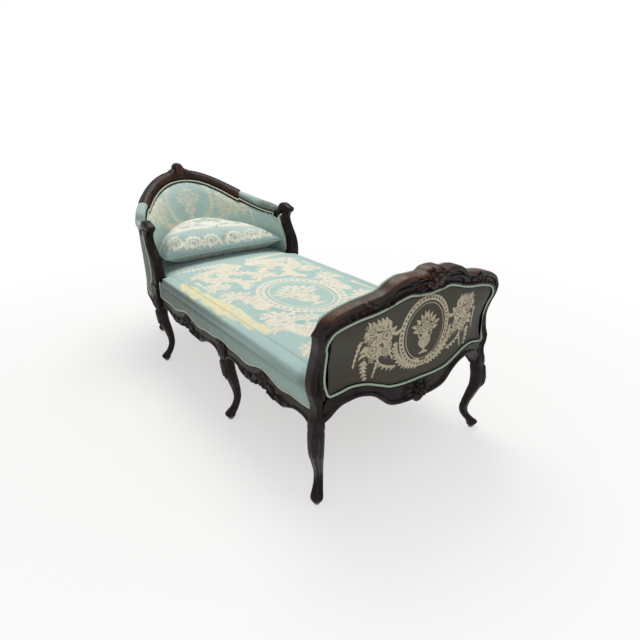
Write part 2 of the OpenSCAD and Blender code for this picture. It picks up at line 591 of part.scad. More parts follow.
// Arm supports: [height, sway, half length, half thickness] shares of the swaying front posts
support_shares = [[0, 0, 1, 1], [0.1, 0.25, 0.9, 1], [0.2, 0.33, 0.83, 0.99], [0.3, 0.33, 0.78, 0.97],
    [0.4, 0.22, 0.74, 0.95], [0.5, 0.02, 0.7, 0.91], [0.6, -0.3, 0.65, 0.87], [0.7, -0.64, 0.6, 0.82],
    [0.8, -0.9, 0.57, 0.77], [0.88, -1, 0.57, 0.77], [0.95, -0.86, 0.64, 0.8], [1, -0.6, 0.74, 0.84]];
function support_row(k) = [for (s = support_shares) [s[0], s[k]]];
function support_u(z) = min(1, max(0, (z - rail_top_z) / (support_z - rail_top_z)));
function support_x(z) = head_leg_x + arm_sway * curve(support_row(1), support_u(z));
function support_half(z) = leg_side * curve(support_row(2), support_u(z));
support_top_y = arm_side_y - arm_in_t / 2;
module arm_support() {
    rings = [for (s = support_shares) let (z = mix(rail_top_z, support_z, s[0]),
            w = leg_block_t / 2 * s[3], y = mix(support_y, support_top_y, s[0]),
            x = support_x(z), l = support_half(z))
        block_ring(x - l, x + l, y - w, y + w, z)];
    color(wood) union() {
        loft(rings);
        translate([head_leg_x, support_y, rail_top_z]) cube(support_tenon, center = true);
    }
}
module arm_support_left() placed() arm_support();
module arm_support_right() placed() other_side() arm_support();

// Arm rails: a rail under the arm pad that rises in front of it into a scroll.
// [angle, outer depth, inner depth, low height, high height] shares of the scroll
scroll_shares = [[0.16, 0.08, 0.92, 0.16, 0.26], [0.35, 0, 1, 0.5, 0.86], [0.54, 0, 1.02, 1.01, 1],
    [0.77, 0, 1.04, 1.01, 0.93], [1, 0.02, 1.02, 1.05, 0.7]];
// [push, inset] shares of its rounded nose
nose_shares = [[0.1, 0.1], [0.25, 0.26]];
nose_share = 0.7;
under_shares = [for (s = concat([[0, 0, 0, 0]], scroll_shares)) [s[0], min(1, s[3])]];
arm_base_z = arm_z - arm_pad_h - arm_rail_h;
function scroll_ring(t0, t1, z0, z1, a, push) = let (c = (z1 - z0) / 4, d = (t1 - t0) / 4)
    [for (p = [[t0, z1 - c], [t0 + d, z1], [t1 - d, z1], [t1, z1 - c], [t1, z0 + c], [t1 - d, z0],
        [t0 + d, z0], [t0, z0 + c]]) head_pt(a, p[0], p[1]) + [push, 0, 0]];
module arm_rail() {
    rail = [for (i = [0:arm_steps]) let (a = mix(crest_half_a + seam_a, arm_pad_a, i / arm_steps),
            z = top_z(a) - arm_pad_h)
        scroll_ring(rebate + gap, rail_t - gap, z - arm_rail_h, z, a, 0)];
    front = [for (s = scroll_shares) scroll_ring(s[1] * arm_in_t, s[2] * arm_in_t,
        mix(arm_base_z, support_z, s[3]), mix(arm_base_z + arm_rail_h, scroll_z, s[4]),
        mix(arm_pad_a, 90, s[0]), 0)];
    nose = [for (s = nose_shares) scroll_ring(s[1] * arm_in_t, (1 - s[1]) * arm_in_t,
        support_z + s[1] * arm_in_t,
        mix(arm_base_z + arm_rail_h, scroll_z, nose_share) - s[1] * arm_in_t / 2,
        90, s[0] * glide_d)];
    color(wood) loft(concat(rail, front, nose));
}
module arm_rail_left() placed() arm_rail();
module arm_rail_right() placed() other_side() arm_rail();

// Crest rail of the back, with its carved flower in the middle
crest_flower_shares = [[0, 1], [0.06, 0.9], [0.11, 0.45], [0.15, 0], [1, 0]];
crest_out = rebate / 2;
module back_crest_rail() {
    rings = [for (i = [-head_steps:head_steps]) let (a = crest_half_a * i / head_steps,
            f = curve(crest_flower_shares, abs(i) / head_steps), z1 = top_z(a) + crest_flower_up * f,
            z0 = crest_low(a), t0 = -crest_out * (1 + f), t1 = crest_t - crest_out, c = crest_h / 5)
        [for (p = [[t0, top_z(a) - c], [t0 + c, z1], [t1 - 2 * c, z1], [t1, top_z(a) - c * 3 / 2],
            [t1, z0 + c], [t1 - c / 2, z0], [0, z0], [t0, z0 + c]]) head_pt(a, p[0], p[1])]];
    color(wood) placed() loft(rings);
}

// Webbing nailed over the rails, and the hessian on it
long_y_shares = [-0.78, -0.36, 0, 0.36, 0.78];
nail_share = 0.6;
nail_t = rail_t / 2;
// The rails' round in plan at depth t: how far back it reaches beside y, and its half width at x
function round_d(v, a, b) = a * pow(max(0, 1 - pow(v / b, head_square)), 1 / head_square);
function round_x(y, t) = head_x - round_d(abs(y), head_depth - t, arm_side_y - t);
function round_y(x, t) = round_d(head_x - x, arm_side_y - t, head_depth - t);
module webbing_long() color(linen) placed() for (s = long_y_shares) {
    y = s * rail_half_w;
    x0 = round_x(abs(y) + strap_w / 2, nail_t);
    x1 = foot_face(abs(y) + strap_w / 2, rail_top_z) - foot_t * nail_share;
    translate([x0, y - strap_w / 2, rail_top_z]) cube([x1 - x0, strap_w, strap_t]);
}
cross_count = 9;
round_straps = [0.3, 0.56];
module webbing_cross() color(linen) placed() {
    y = rail_half_w - rebate - strap_t;
    x_first = post_back_x - strap_w;
    x_last = head_block_front + strap_w;
    for (i = [0:cross_count]) translate([mix(x_first, x_last, i / cross_count) - strap_w / 2, -y,
            rail_top_z + strap_t]) cube([strap_w, 2 * y, strap_t]);
    for (s = round_straps) {
        x = head_x - head_depth * s;
        w = round_y(x - strap_w / 2, nail_t);
        translate([x - strap_w / 2, -w, rail_top_z + strap_t]) cube([strap_w, 2 * w, strap_t]);
    }
}

// Outline of the seat seen from above: a half outline of the foot end, a notch beside each arm
// support, and a round for a depth inside the head end. The inset draws it in all round.
seat_side_y = rail_half_w - rebate + cover_t;
arc_a = 85.5;
function seat_outline(half, side, notch_x, notch, t_side, t_back, inset, z) = let (
        arc = [for (i = [-12:12]) let (a = arc_a * i / 12)
            head_pt(a, mix(t_back, t_side, pow(sin(a), 2)) + inset, rail_top_z)],
        run = [for (u = [0.02, 0.25, 0.5, 0.75, 1])
            [mix(half[len(half) - 1][0], notch_x, u), side - inset]],
        turn = [[notch_x - gap, notch - inset],
            [head_block_back - gap, min(notch, arm_side_y - t_side - gap) - inset]],
        right = concat(half, run, turn))
    [for (p = concat(right, [for (i = [len(arc) - 1:-1:0]) arc[i]],
        [for (i = [len(right) - 1:-1:1]) [right[i][0], -right[i][1]]])) [p[0], p[1], z]];
module seat_hessian() {
    z = rail_top_z + 2 * strap_t;
    side = rail_half_w - rebate - gap;
    on_rail = [for (u = [0, 0.3, 0.6, 0.9]) let (y = u * foot_in_y)
        [foot_in(y, rail_top_z) + foot_t * (1 - nail_share), y]];
    foot = concat(on_rail, [[post_back_x - gap, foot_in_y - rebate], [post_back_x - gap, foot_in_y]]);
    shape = seat_outline(foot, side, head_block_front + rebate, head_in_y - gap, rail_t, rail_t, 0, z);
    color(linen) placed() translate([0, 0, z]) linear_extrude(hessian_t)
        polygon([for (p = shape) [p[0], p[1]]]);
}

// Seat pad: a stuffed pad with rolled edges and a stitched line round its plain band
pad_end_y = foot_in_y + welt_r;
pad_z = rail_top_z + 2 * strap_t + hessian_t + gap;
seat_top_z = pad_z + pad_edge_h + pad_crown_h;
inner_back_t = crest_t - crest_out + gap;
swell = 1.12;
foot_swell = 1.09;
band_w = 2 * leg_swing;
notch_front = max([for (u = [0:0.05:0.3]) let (z = mix(rail_top_z, support_z, u))
    support_x(z) + support_half(z)]) + 2 * gap;
// [inset, edge height, crown height] shares: the inset is in band widths
pad_shares = [[0.16, 0, 0], [0.02, 0.25, 0], [0, 0.6, 0], [0.06, 0.9, 0], [0.22, 1, 0.12],
    [0.9, 1, 0.4], [1, 1, 0.32], [1.1, 1, 0.44], [2.4, 1, 0.8], [4, 1, 0.97], [5.6, 1, 1]];
// Foot end of the seat pad: it follows the footboard's pad and fills the corners beside its piping
corner_y = pad_end_y + 2 * welt_r + 6 * gap;
function foot_end_x(y) = foot_in(y, pad_z) - hessian_t - 4 * gap
    - foot_pad_t * foot_swell * (1 - pow(y / pad_end_y, 12) / 2);
function foot_end(inset) = let (w = 1 - inset / seat_side_y, y2 = seat_side_y - inset,
        base = [for (u = [0, 0.35, 0.65, 0.84, 0.94, 1]) let (y = u * pad_end_y)
            [foot_end_x(y) - inset, y * w]],
        x1 = base[len(base) - 1][0], y1 = base[len(base) - 1][1], x2 = post_back_x - 2 * gap - inset / 2)
    concat(base, inset < band_w / 4 ? [[x1, corner_y], [x2, corner_y], [x2, y2]]
        : [[x1, mix(y1, y2, 0.3)], [x1, mix(y1, y2, 0.6)], [x1, y2]]);
module seat_pad() {
    t_back = inner_back_t + back_pad_t * swell + 2 * gap;
    t_side = inner_back_t + side_pad_t * swell + 2 * gap;
    rings = [for (s = pad_shares) seat_outline(foot_end(s[0] * band_w), seat_side_y, notch_front,
        head_in_y - 3 * gap, t_side, t_back, s[0] * band_w,
        pad_z + s[1] * pad_edge_h + s[2] * pad_crown_h)];
    color(aqua) placed() loft(rings);
}

// Borders between the pad and the show wood, and the piping below them
border_x0 = head_block_front + rebate / 4;
border_y = rail_half_w - rebate + gap;
function show_off(x) = (welt_r + 2 * gap) * steep(show_line(x - gap), show_line(x + gap), 2 * gap);
border_x = [for (i = [0:2 * bay_steps]) mix(border_x0, post_back_x - gap, i / (2 * bay_steps))];
module seat_border() color(aqua)
    board([for (x = border_x) [x, show_line(x) + 2 * show_off(x)]],
        [[border_x0, pad_z - gap], [post_back_x - gap, pad_z - gap]], border_y, border_y - gap + cover_t);
module seat_border_left() placed() seat_border();
module seat_border_right() placed() other_side() seat_border();
module seat_welt() color(cream) loft(tube(
    [for (x = border_x) [x, border_y + welt_r, show_line(x) + show_off(x)]],
    [for (x = border_x) [0, 1, 0]], welt_r));
module seat_welt_left() placed() seat_welt();
module seat_welt_right() placed() other_side() seat_welt();

// Outer panel of the footboard, in front of the open frame
panel_set = rebate * 3 / 4;
// [depth, height] shares of the panel's section, with depth in cover thicknesses
panel_shares = [[0, 1], [-1, 1], [-1, 0.5], [-1, 0], [0, 0], [0.6, 0.2], [0.8, 0.5], [0.6, 0.8]];
module foot_outer_panel() {
    end_y = foot_in_y - 2 * (welt_r + gap);
    rings = [for (i = [-foot_steps:foot_steps]) let (y = end_y * i / foot_steps,
            z0 = panel_low(y) + welt_off(y, false), z1 = panel_top(y) - welt_off(y, true))
        [for (p = panel_shares) let (z = mix(z0, z1, p[1]))
            [foot_face(y, z) - panel_set + p[0] * cover_t, y, z]]];
    color(olive) placed() loft(rings);
}

// Piping round the outer panel
low_corner_share = 0.975;
high_corner_share = 0.96;
module foot_outer_welt() {
    end_y = foot_in_y - welt_r - gap;
    low = [for (i = [-16:16]) let (y = end_y * low_corner_share * i / 16) [y, panel_low(y)]];
    side = [for (i = [0:9]) let (z = mix(rail_top_z + welt_r, foot_joint_z - 2 * welt_r, i / 9))
        [post_in_y(z) - welt_r - gap, z]];
    high = [for (i = [16:-1:-16]) let (y = end_y * high_corner_share * i / 16) [y, panel_top(y)]];
    flat = concat(low, side, high, [for (i = [9:-1:0]) [-side[i][0], side[i][1]]]);
    path = [for (p = flat) [foot_face(p[0], p[1]) - welt_r / 2, p[0], p[1]]];
    color(cream) placed() loft(tube(path, [for (p = path) [1, 0, 0]], welt_r, true), true);
}

// Hessian on the footboard's inner face, its inside pad and its piping
function inner_top(y) = crest_line(min(abs(y), crest_in_y)) - 3 * welt_r;
function inner_face(y, z) = foot_in(y, z) - hessian_t - 3 * gap;
module foot_hessian() {
    rings = [for (i = [-foot_steps:foot_steps]) let (y = (pad_end_y + 2 * welt_r) * i / foot_steps)
        [for (p = [[1, 0], [0, 0], [0, 1], [1, 1]]) let (z = mix(pad_z, inner_top(y), p[1]))
            [foot_in(y, z) - gap - p[0] * hessian_t, y, z]]];
    color(linen) placed() loft(rings);
}
// [height, thickness] shares of the footboard's pad, from the bottom up
foot_pad_shares = [[0, 0.85], [0.12, 1.05], [0.35, 1.08], [0.6, 0.95], [0.82, 0.65], [0.95, 0.36], [1, 0.1]];
module foot_inner_pad() {
    rings = [for (i = [-foot_steps:foot_steps]) let (u = i / foot_steps, y = pad_end_y * u,
            full = foot_pad_t * (1 - pow(abs(u), 12) / 2),
            top = inner_top(y) - gap - 3 * welt_r * pow(abs(u), 40))
        concat([for (v = [0, 0.5, 1]) let (z = mix(pad_z, top, v)) [inner_face(y, z), y, z]],
            [for (k = [len(foot_pad_shares) - 1:-1:0]) let (s = foot_pad_shares[k],
                    z = mix(pad_z, top, s[0]))
                [inner_face(y, z) - full * s[1], y, z]])];
    color(aqua) placed() loft(rings);
}
module foot_inner_welt() {
    side_y = pad_end_y + welt_r + gap;
    up = [for (i = [0:6]) [side_y, mix(pad_z + 2 * welt_r, inner_top(side_y) - 2 * welt_r, i / 6)]];
    over = [for (i = [16:-1:-16]) let (y = side_y * low_corner_share * i / 16)
        [y, inner_top(y) + welt_r]];
    flat = concat(up, over, [for (i = [6:-1:0]) [-up[i][0], up[i][1]]]);
    path = [for (p = flat) [inner_face(p[0], p[1]) - welt_r, p[0], p[1]]];
    color(cream) placed() loft(tube(path, [for (p = path) [1, 0, 0]], welt_r));
}

// Outside cover and inside pad of the head end. Both end against the swaying arm supports, and their
// tops follow the underside of the crest rail, the arm pads and the arm scrolls. Along the head end
// u runs from -1 to 1, and at half way it meets the end of the crest rail.
support_gap = rebate / 2;
function support_back(z) = head_x - support_x(z) + support_half(z) + support_gap;
function side_a(u, t, z) = abs(u) <= 0.5 ? 2 * u * crest_half_a
    : sign(u) * mix(crest_half_a, head_a(support_back(z), t, z), 2 * abs(u) - 1);
function under_z(a) = a <= crest_half_a ? crest_low(a)
    : a < arm_pad_a - 1 ? top_z(a) - arm_pad_h
    : mix(arm_base_z, support_z, lookup((a - arm_pad_a) / (90 - arm_pad_a), under_shares)) - rebate / 4;
function top_at(u, t) = let (z = under_z(abs(side_a(u, t, support_z)))) under_z(abs(side_a(u, t, z))) - gap;
cover_heights = [0, 0.2, 0.4, 0.6, 0.78, 0.9, 1];
// The cover is sewn from three panels that meet over the rear posts.
seam_u = rear_leg_a / crest_half_a / 2;
seam_gap_u = gap / (2 * crest_half_a / 180 * PI * head_depth);
back_u = [for (i = [-back_steps:back_steps]) seam_u * i / back_steps];
arm_u = concat([seam_u + seam_gap_u], [for (i = [0:arm_steps]) mix(0.5, 1, i / arm_steps)]);
module cover_panel(along) {
    rings = [for (u = along) let (z1 = top_at(u, gap),
            z0 = round_show(side_a(u, 0, show_z)) + 2 * welt_r + 3 * gap)
        [for (p = concat([for (h = cover_heights) [gap, h]],
                [for (k = [len(cover_heights) - 1:-1:0]) [gap + cover_t, cover_heights[k]]]))
            let (z = mix(z0, z1, p[1])) head_pt(side_a(u, p[0], z), p[0], z)]];
    color(aqua) placed() loft(rings, rungs = true);
}
module head_outer_back() cover_panel(back_u);
module head_outer_arm_left() cover_panel(arm_u);
module head_outer_arm_right() cover_panel([for (i = [len(arm_u) - 1:-1:0]) -arm_u[i]]);
// [height, thickness] shares of the inside pad, from the bottom up
inner_shares = [[0, 0.75], [0.15, 1], [0.4, 1.12], [0.68, 1.02], [0.88, 0.72], [1, 0.3]];
module head_inner_pad() {
    rings = [for (i = [-head_steps:head_steps]) let (u = i / head_steps,
            z1 = top_at(u, inner_back_t) - 2 * welt_r - gap,
            full = mix(back_pad_t, side_pad_t, pow(sin(abs(u) * 90), 2)), n = len(inner_shares) - 1)
        [for (p = concat([for (s = inner_shares) [0, s[0]]],
                [for (k = [n:-1:0]) [full * inner_shares[k][1], inner_shares[k][0]]]))
            let (z = mix(pad_z, z1, p[1]), t = inner_back_t + p[0]) head_pt(side_a(u, t, z), t, z)]];
    color(aqua) placed() loft(rings, rungs = true);
}

// Piping below the outside cover, and over the inside pad
slim_welt_share = 0.8;
module head_outer_welt() {
    path = [for (i = [-head_steps:head_steps]) let (u = i / head_steps, t = gap + welt_r / 2,
            z = round_show(side_a(u, 0, show_z)) + welt_r + 2 * gap) head_pt(side_a(u, t, z), t, z)];
    color(cream) placed() loft(tube(path, [for (p = path) [0, 0, 1]], welt_r));
}
module head_inner_welt() {
    path = [for (i = [-head_steps:head_steps]) let (u = i / head_steps, t = inner_back_t + 2 * welt_r,
            z = top_at(u, inner_back_t) - welt_r - gap) head_pt(side_a(u, t, z), t, z)];
    color(cream) placed() loft(tube(path, [for (p = path) [0, 0, 1]], welt_r * slim_welt_share));
}

// Arm pads
// [depth, height] shares of an arm pad's section
arm_pad_shares = [[0, 0.35], [0.02, 0.7], [0.12, 0.92], [0.35, 1], [0.65, 1], [0.88, 0.9],
    [0.98, 0.65], [1, 0.35], [0.86, 0], [0.14, 0]];
draw_share = 0.12;
module arm_pad() {
    rings = [for (i = [0:arm_steps]) let (a = mix(crest_half_a + seam_a, arm_pad_a - seam_a, i / arm_steps),
            f = 1 - draw_share * pow(abs(2 * i / arm_steps - 1), 6), z0 = top_z(a) - arm_pad_h + gap)
        [for (p = arm_pad_shares) head_pt(a, mix(-arm_pad_out, leg_block_t, 0.5 + (p[0] - 0.5) * f),
            z0 + p[1] * f * arm_pad_h)]];
    color(aqua) placed() loft(rings);
}
module arm_pad_left() arm_pad();
module arm_pad_right() other_side() arm_pad();

// Pillow: its seam lies in a tilted plane, it is crowned above and pressed on the seat below
pillow_x = head_x - pillow_back;
slim_share = 0.05;
mid_share = 0.46;
pillow_front = [for (i = [-5:5]) [pillow_x - pillow_back * (1 - pow(i / 5, 2)) / 2, pillow_half_w * i / 5]];
pillow_round = [for (i = [1:21]) let (a = 90 - i * 180 / 22, w = 1 - slim_share * pow(sin(2 * a), 2))
    [pillow_x - pillow_d * pow(abs(cos(a)), plan_power),
        sign(a) * pillow_half_w * w * pow(abs(sin(a)), plan_power)]];
pillow_line = concat(pillow_front, pillow_round);
pillow_mid = [pillow_x - pillow_d * mid_share, 0];
function seam_z(x) = seat_top_z + pillow_low + pillow_seam_rise * (pillow_x - x) / pillow_d;
// [size, height] shares above and below the seam
pillow_up_shares = [[1, 0], [0.99, 0.22], [0.97, 0.42], [0.93, 0.6], [0.86, 0.75], [0.76, 0.87],
    [0.6, 0.95], [0.36, 1]];
pillow_down_shares = [[0.2, 1], [0.5, 1], [0.68, 0.94], [0.82, 0.7], [0.92, 0.38], [0.97, 0.16]];
// The crown falls towards the left end and rises beyond this share of the way to the right end
rise_from_share = 0.7;
function pillow_crown(y) = let (v = -y / pillow_half_w) pillow_up + (v < 0 ? pillow_drop * v :
    pillow_rise * max(0, v - rise_from_share) / (1 - rise_from_share));
function pillow_ring(s, f, up) = [for (p = pillow_line) let (c = pillow_mid + (p - pillow_mid) * s,
    z = seam_z(c[0])) [c[0], c[1], up ? z + f * pillow_crown(c[1]) : mix(z, seat_top_z + gap, f)]];
module pillow() color(aqua) placed() loft(concat(
    [for (s = pillow_down_shares) pillow_ring(s[0], s[1], false)],
    [for (s = pillow_up_shares) pillow_ring(s[0], s[1], true)]));
pillow_welt_share = 0.7;
pillow_welt_r = welt_r * pillow_welt_share;
function side_of(a, b) = unit([b[1] - a[1], a[0] - b[0]]);
function outside(line, i, r) = let (n = len(line), a = side_of(line[(i + n - 1) % n], line[i]),
    b = side_of(line[i], line[(i + 1) % n])) line[i] + (a + b) * r / (1 + a * b);
module pillow_welt() {
    path = [for (i = [0:len(pillow_line) - 1]) let (c = outside(pillow_line, i, pillow_welt_r + gap / 2))
        [c[0], c[1], seam_z(c[0])]];
    color(cream) placed() loft(tube(path, [for (p = path) [0, 0, 1]], pillow_welt_r, true), true);
}

// The origin is the middle of the outline, so everything above moves along X by this much.
foot_reach = foot_face(0, foot_crest_z + flower_up - foot_t / 4) + flower_out;
head_reach = seat_l + head_d(crest_z + crest_flower_up) + 2 * crest_out - crest_h / 5;
mid_x = (head_reach - foot_reach) / 2;

foot_post_left();
foot_post_right();
foot_crest_rail();
foot_lower_rail();
mid_leg_left();
mid_leg_right();
head_leg_left();
head_leg_right();
rear_post_left();
rear_post_right();
side_rail_foot_left();
side_rail_foot_right();
side_rail_head_left();
side_rail_head_right();
head_rail_left();
head_rail_right();
head_rail_back();
cross_rail_mid();
cross_rail_head();
corner_blocks();
block_screws();
foot_glides();
arm_support_left();
arm_support_right();
arm_rail_left();
arm_rail_right();
back_crest_rail();
webbing_long();
webbing_cross();
seat_hessian();
seat_pad();
seat_border_left();
seat_border_right();
seat_welt_left();
seat_welt_right();
foot_outer_panel();
foot_hessian();
foot_inner_pad();
foot_outer_welt();
foot_inner_welt();
head_outer_back();
head_outer_arm_left();
head_outer_arm_right();
head_inner_pad();
head_outer_welt();
head_inner_welt();
arm_pad_left();
arm_pad_right();
pillow();
pillow_welt();
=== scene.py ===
import math

import bpy
import numpy as np
from mathutils import Matrix


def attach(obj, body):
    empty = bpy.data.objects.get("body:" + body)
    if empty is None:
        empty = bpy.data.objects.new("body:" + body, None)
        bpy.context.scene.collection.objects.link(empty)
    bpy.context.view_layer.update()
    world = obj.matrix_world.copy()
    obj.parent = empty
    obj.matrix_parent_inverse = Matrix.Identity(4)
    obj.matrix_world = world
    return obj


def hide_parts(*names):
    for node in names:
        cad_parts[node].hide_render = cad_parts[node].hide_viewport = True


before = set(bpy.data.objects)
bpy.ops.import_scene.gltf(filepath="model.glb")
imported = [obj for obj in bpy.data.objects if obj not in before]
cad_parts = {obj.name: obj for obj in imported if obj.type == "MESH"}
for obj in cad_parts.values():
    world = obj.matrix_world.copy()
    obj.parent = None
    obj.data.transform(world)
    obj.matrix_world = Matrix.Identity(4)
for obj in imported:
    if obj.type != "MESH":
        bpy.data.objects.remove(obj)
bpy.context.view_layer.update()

# The room: a pale floor that fades into a white backdrop, one large soft lamp high above the
# couch, a weaker one by the camera and an even sky. The camera stands past the foot end, to the
# right and 1.2 m up. Places are in millimetres from the foot legs' line.
MM = 0.001
MID_X = 894.80


def place(points):
    """Millimetres from the foot legs' line, as metres in the frame of the couch."""
    return (np.asarray(points, float) + [MID_X, 0, 0]) * MM


def look(azimuth, down, roll):
    """Turn of a camera that looks down by that angle, with azimuth 0 along +Y."""
    a, e, r = (math.radians(v) for v in (azimuth, down, roll))
    ahead = np.array([-math.sin(a) * math.cos(e), math.cos(a) * math.cos(e), -math.sin(e)])
    side = np.array([math.cos(a), math.sin(a), 0])
    up = np.cross(side, ahead)
    level = math.cos(r) * side + math.sin(r) * up
    upright = -math.sin(r) * side + math.cos(r) * up
    return np.column_stack([level, upright, -ahead])


def stand(thing, spot, turn):
    """Puts a lamp or the camera into the scene."""
    matrix = Matrix([[*turn[k], float(spot[k])] for k in range(3)] + [[0, 0, 0, 1]])
    thing.matrix_world = matrix
    bpy.context.scene.collection.objects.link(thing)


camera = bpy.data.objects.new("camera", bpy.data.cameras.new("camera"))
PHOTO_WIDTH = 640
SENSOR = 36
camera.data.sensor_width = SENSOR
FOCAL_PIXELS = 542.6
camera.data.lens = SENSOR * FOCAL_PIXELS / PHOTO_WIDTH
CAMERA_SPOT = [1161.6, -1187.9, 1230.6]
CAMERA_AZIMUTH, CAMERA_DOWN, CAMERA_ROLL = 54.5, 22.4, -0.5
stand(camera, place(CAMERA_SPOT), look(CAMERA_AZIMUTH, CAMERA_DOWN, CAMERA_ROLL))
bpy.context.scene.camera = camera
bpy.context.scene.view_settings.view_transform = "Standard"


def soft_lamp(name, spot, aim, size, watts, colour):
    lamp = bpy.data.objects.new(name, bpy.data.lights.new(name, "AREA"))
    lamp.data.shape = "DISK"
    lamp.data.size = size
    lamp.data.energy = watts
    lamp.data.color = colour
    ahead = np.array(aim, float) - spot
    flat = math.hypot(ahead[0], ahead[1])
    azimuth = math.degrees(math.atan2(-ahead[0], ahead[1]))
    stand(lamp, spot, look(azimuth, math.degrees(math.atan2(-ahead[2], flat)), 0))


soft_lamp("top_lamp", (-0.9, 0.7, 3.2), (0, 0, 0.4), 2.2, 66, (1, 0.985, 0.96))
soft_lamp("side_lamp", (3.0, -1.6, 2.2), (0.4, 0, 0.3), 2.0, 20, (0.97, 0.98, 1))


def colour(code):
    """A paint code as the linear colour that the shaders take."""
    parts = [int(code[k:k + 2], 16) / 255 for k in (1, 3, 5)]
    return (*[p / 12.92 if p <= 0.04045 else ((p + 0.055) / 1.055) ** 2.4 for p in parts], 1)


class Finish:
    """A procedural finish under way: each method adds one node and gives back its result."""

    def __init__(self, name):
        self.material = bpy.data.materials.new(name)
        self.material.use_nodes = True
        self.tree = self.material.node_tree
        self.surface = next(n for n in self.tree.nodes if n.type == "BSDF_PRINCIPLED")
        self.end = next(n for n in self.tree.nodes if n.type == "OUTPUT_MATERIAL")
        self.spot = self.node("ShaderNodeTexCoord").outputs["Object"]

    def node(self, kind, settings=(), **given):
        node = self.tree.nodes.new(kind)
        for key, value in dict(settings).items():
            setattr(node, key, value)
        for key, value in given.items():
            self.feed(node.inputs[int(key[1:]) if key[0] == "_" else key], value)
        return node

    def feed(self, socket, value):
        if isinstance(value, bpy.types.NodeSocket):
            self.tree.links.new(value, socket)
        elif value is not None:
            socket.default_value = value

    def math(self, operation, a, b=None):
        return self.node("ShaderNodeMath", {"operation": operation}, _0=a, _1=b).outputs[0]

    def mark(self, name, output="Fac"):
        """A value that the mesh carries at each of its points."""
        return self.node("ShaderNodeAttribute", {"attribute_name": name}).outputs[output]

    def noise(self, scale, detail=3, stretch=(1, 1, 1), spot=None):
        if stretch != (1, 1, 1):
            spot = self.node("ShaderNodeMapping", Vector=spot or self.spot,
                             Scale=stretch).outputs[0]
        return self.node("ShaderNodeTexNoise", Vector=spot or self.spot, Scale=scale,
                         Detail=detail).outputs["Fac"]

    def band(self, value, low, high, out_low=0, out_high=1):
        """Rises smoothly from out_low to out_high as value goes from low to high."""
        given = {"_0": value, "_1": low, "_2": high, "_3": out_low, "_4": out_high}
        return self.node("ShaderNodeMapRange", {"interpolation_type": "SMOOTHSTEP"},
                         **given).outputs[0]

    def blend(self, share, one, other):
        """One colour at share 0 and the other at share 1."""
        return self.node("ShaderNodeMix", {"data_type": "RGBA"}, _0=share, _6=one,
                         _7=other).outputs[2]

    def bump(self, height, distance, strength=1.0, before=None):
        return self.node("ShaderNodeBump", Strength=strength, Distance=distance, Height=height,
                         Normal=before).outputs[0]

    def done(self, **surface):
        for key, value in surface.items():
            self.feed(self.surface.inputs[key.replace("_", " ")], value)
        return self.material


def seen_white(finish, share):
    """Rays that see the backdrop find plain white, and light still falls on what is there."""
    path = finish.node("ShaderNodeLightPath")
    sees = finish.math("MAXIMUM", path.outputs["Is Camera Ray"],
                       finish.math("MAXIMUM", path.outputs["Is Glossy Ray"],
                                   path.outputs["Is Transmission Ray"]))
    white = finish.node("ShaderNodeEmission", Color=(1, 1, 1, 1), Strength=1.0)
    mixed = finish.node("ShaderNodeMixShader", _0=finish.math("MULTIPLY", sees, share),
                        _1=finish.surface.outputs[0], _2=white.outputs[0])
    finish.tree.links.new(mixed.outputs[0], finish.end.inputs["Surface"])


FLOOR_HALF = 14
floor_mesh = bpy.data.meshes.new("floor")
floor_mesh.from_pydata([(x, y, 0) for x, y in ((-1, -1), (1, -1), (1, 1), (-1, 1))], [],
                       [(0, 1, 2, 3)])
floor_mesh.transform(Matrix.Diagonal((FLOOR_HALF, FLOOR_HALF, 1, 1)))
floor = bpy.data.objects.new("floor", floor_mesh)
bpy.context.scene.collection.objects.link(floor)
pale = Finish("pale_floor")
away = pale.node("ShaderNodeVectorMath", {"operation": "LENGTH"}, _0=pale.spot).outputs["Value"]
pale.done(Base_Color=pale.blend(pale.noise(3), colour("#f4f3f1"), colour("#f8f7f5")), Roughness=0.9)
seen_white(pale, pale.band(away, 0.5, 2.6, 0.55, 1))
floor_mesh.materials.append(pale.material)

sky = bpy.data.worlds.new("sky")
sky.use_nodes = True
bpy.context.scene.world = sky
sky_light = next(n for n in sky.node_tree.nodes if n.type == "BACKGROUND")
sky_light.inputs["Color"].default_value = (1, 1, 1, 1)
sky_ray = sky.node_tree.nodes.new("ShaderNodeLightPath")
sky_level = sky.node_tree.nodes.new("ShaderNodeMapRange")
sky_level.inputs["To Min"].default_value = 0.5
sky_level.inputs["To Max"].default_value = 1.0
sky.node_tree.links.new(sky_ray.outputs["Is Camera Ray"], sky_level.inputs["Value"])
sky.node_tree.links.new(sky_level.outputs[0], sky_light.inputs["Strength"])

# The footboard's crest rail: one board of dark walnut, sawn to its wavy outline and carved in
# relief. A round bead follows the outer edge and is rubbed to a tan, a deep hollow runs inside it,
# and a flower with leaves and scrolls stands in the middle. It sits on the posts' tenons.


def curve(table, x):
    """A smooth line through a table of [place, value] pairs, at the places x."""
    p, v = np.array(table, float).T
    row = np.arange(len(p))
    before, after = np.maximum(row - 1, 0), np.minimum(row + 1, len(p) - 1)
    lean = (v[after] - v[before]) / (p[after] - p[before])
    x = np.clip(np.asarray(x, float), p[0], p[-1])
    i = np.clip(np.searchsorted(p, x, side="right") - 1, 0, len(p) - 2)
    w = p[i + 1] - p[i]
    u = (x - p[i]) / w
    r = 1 - u
    return (v[i] * (1 + 2 * u) * r * r + lean[i] * w * u * r * r
            + v[i + 1] * u * u * (1 + 2 * r) - lean[i + 1] * w * u * u * r)


def curve_of(rows, column, x):
    """The same through one column of a table whose rows start with their place."""
    return curve([[row[0], row[column]] for row in rows], x)


def step(x, low, high):
    """0 below low, 1 above high, and smooth between them."""
    u = np.clip((np.asarray(x, float) - low) / (high - low), 0, 1)
    return u * u * (3 - 2 * u)


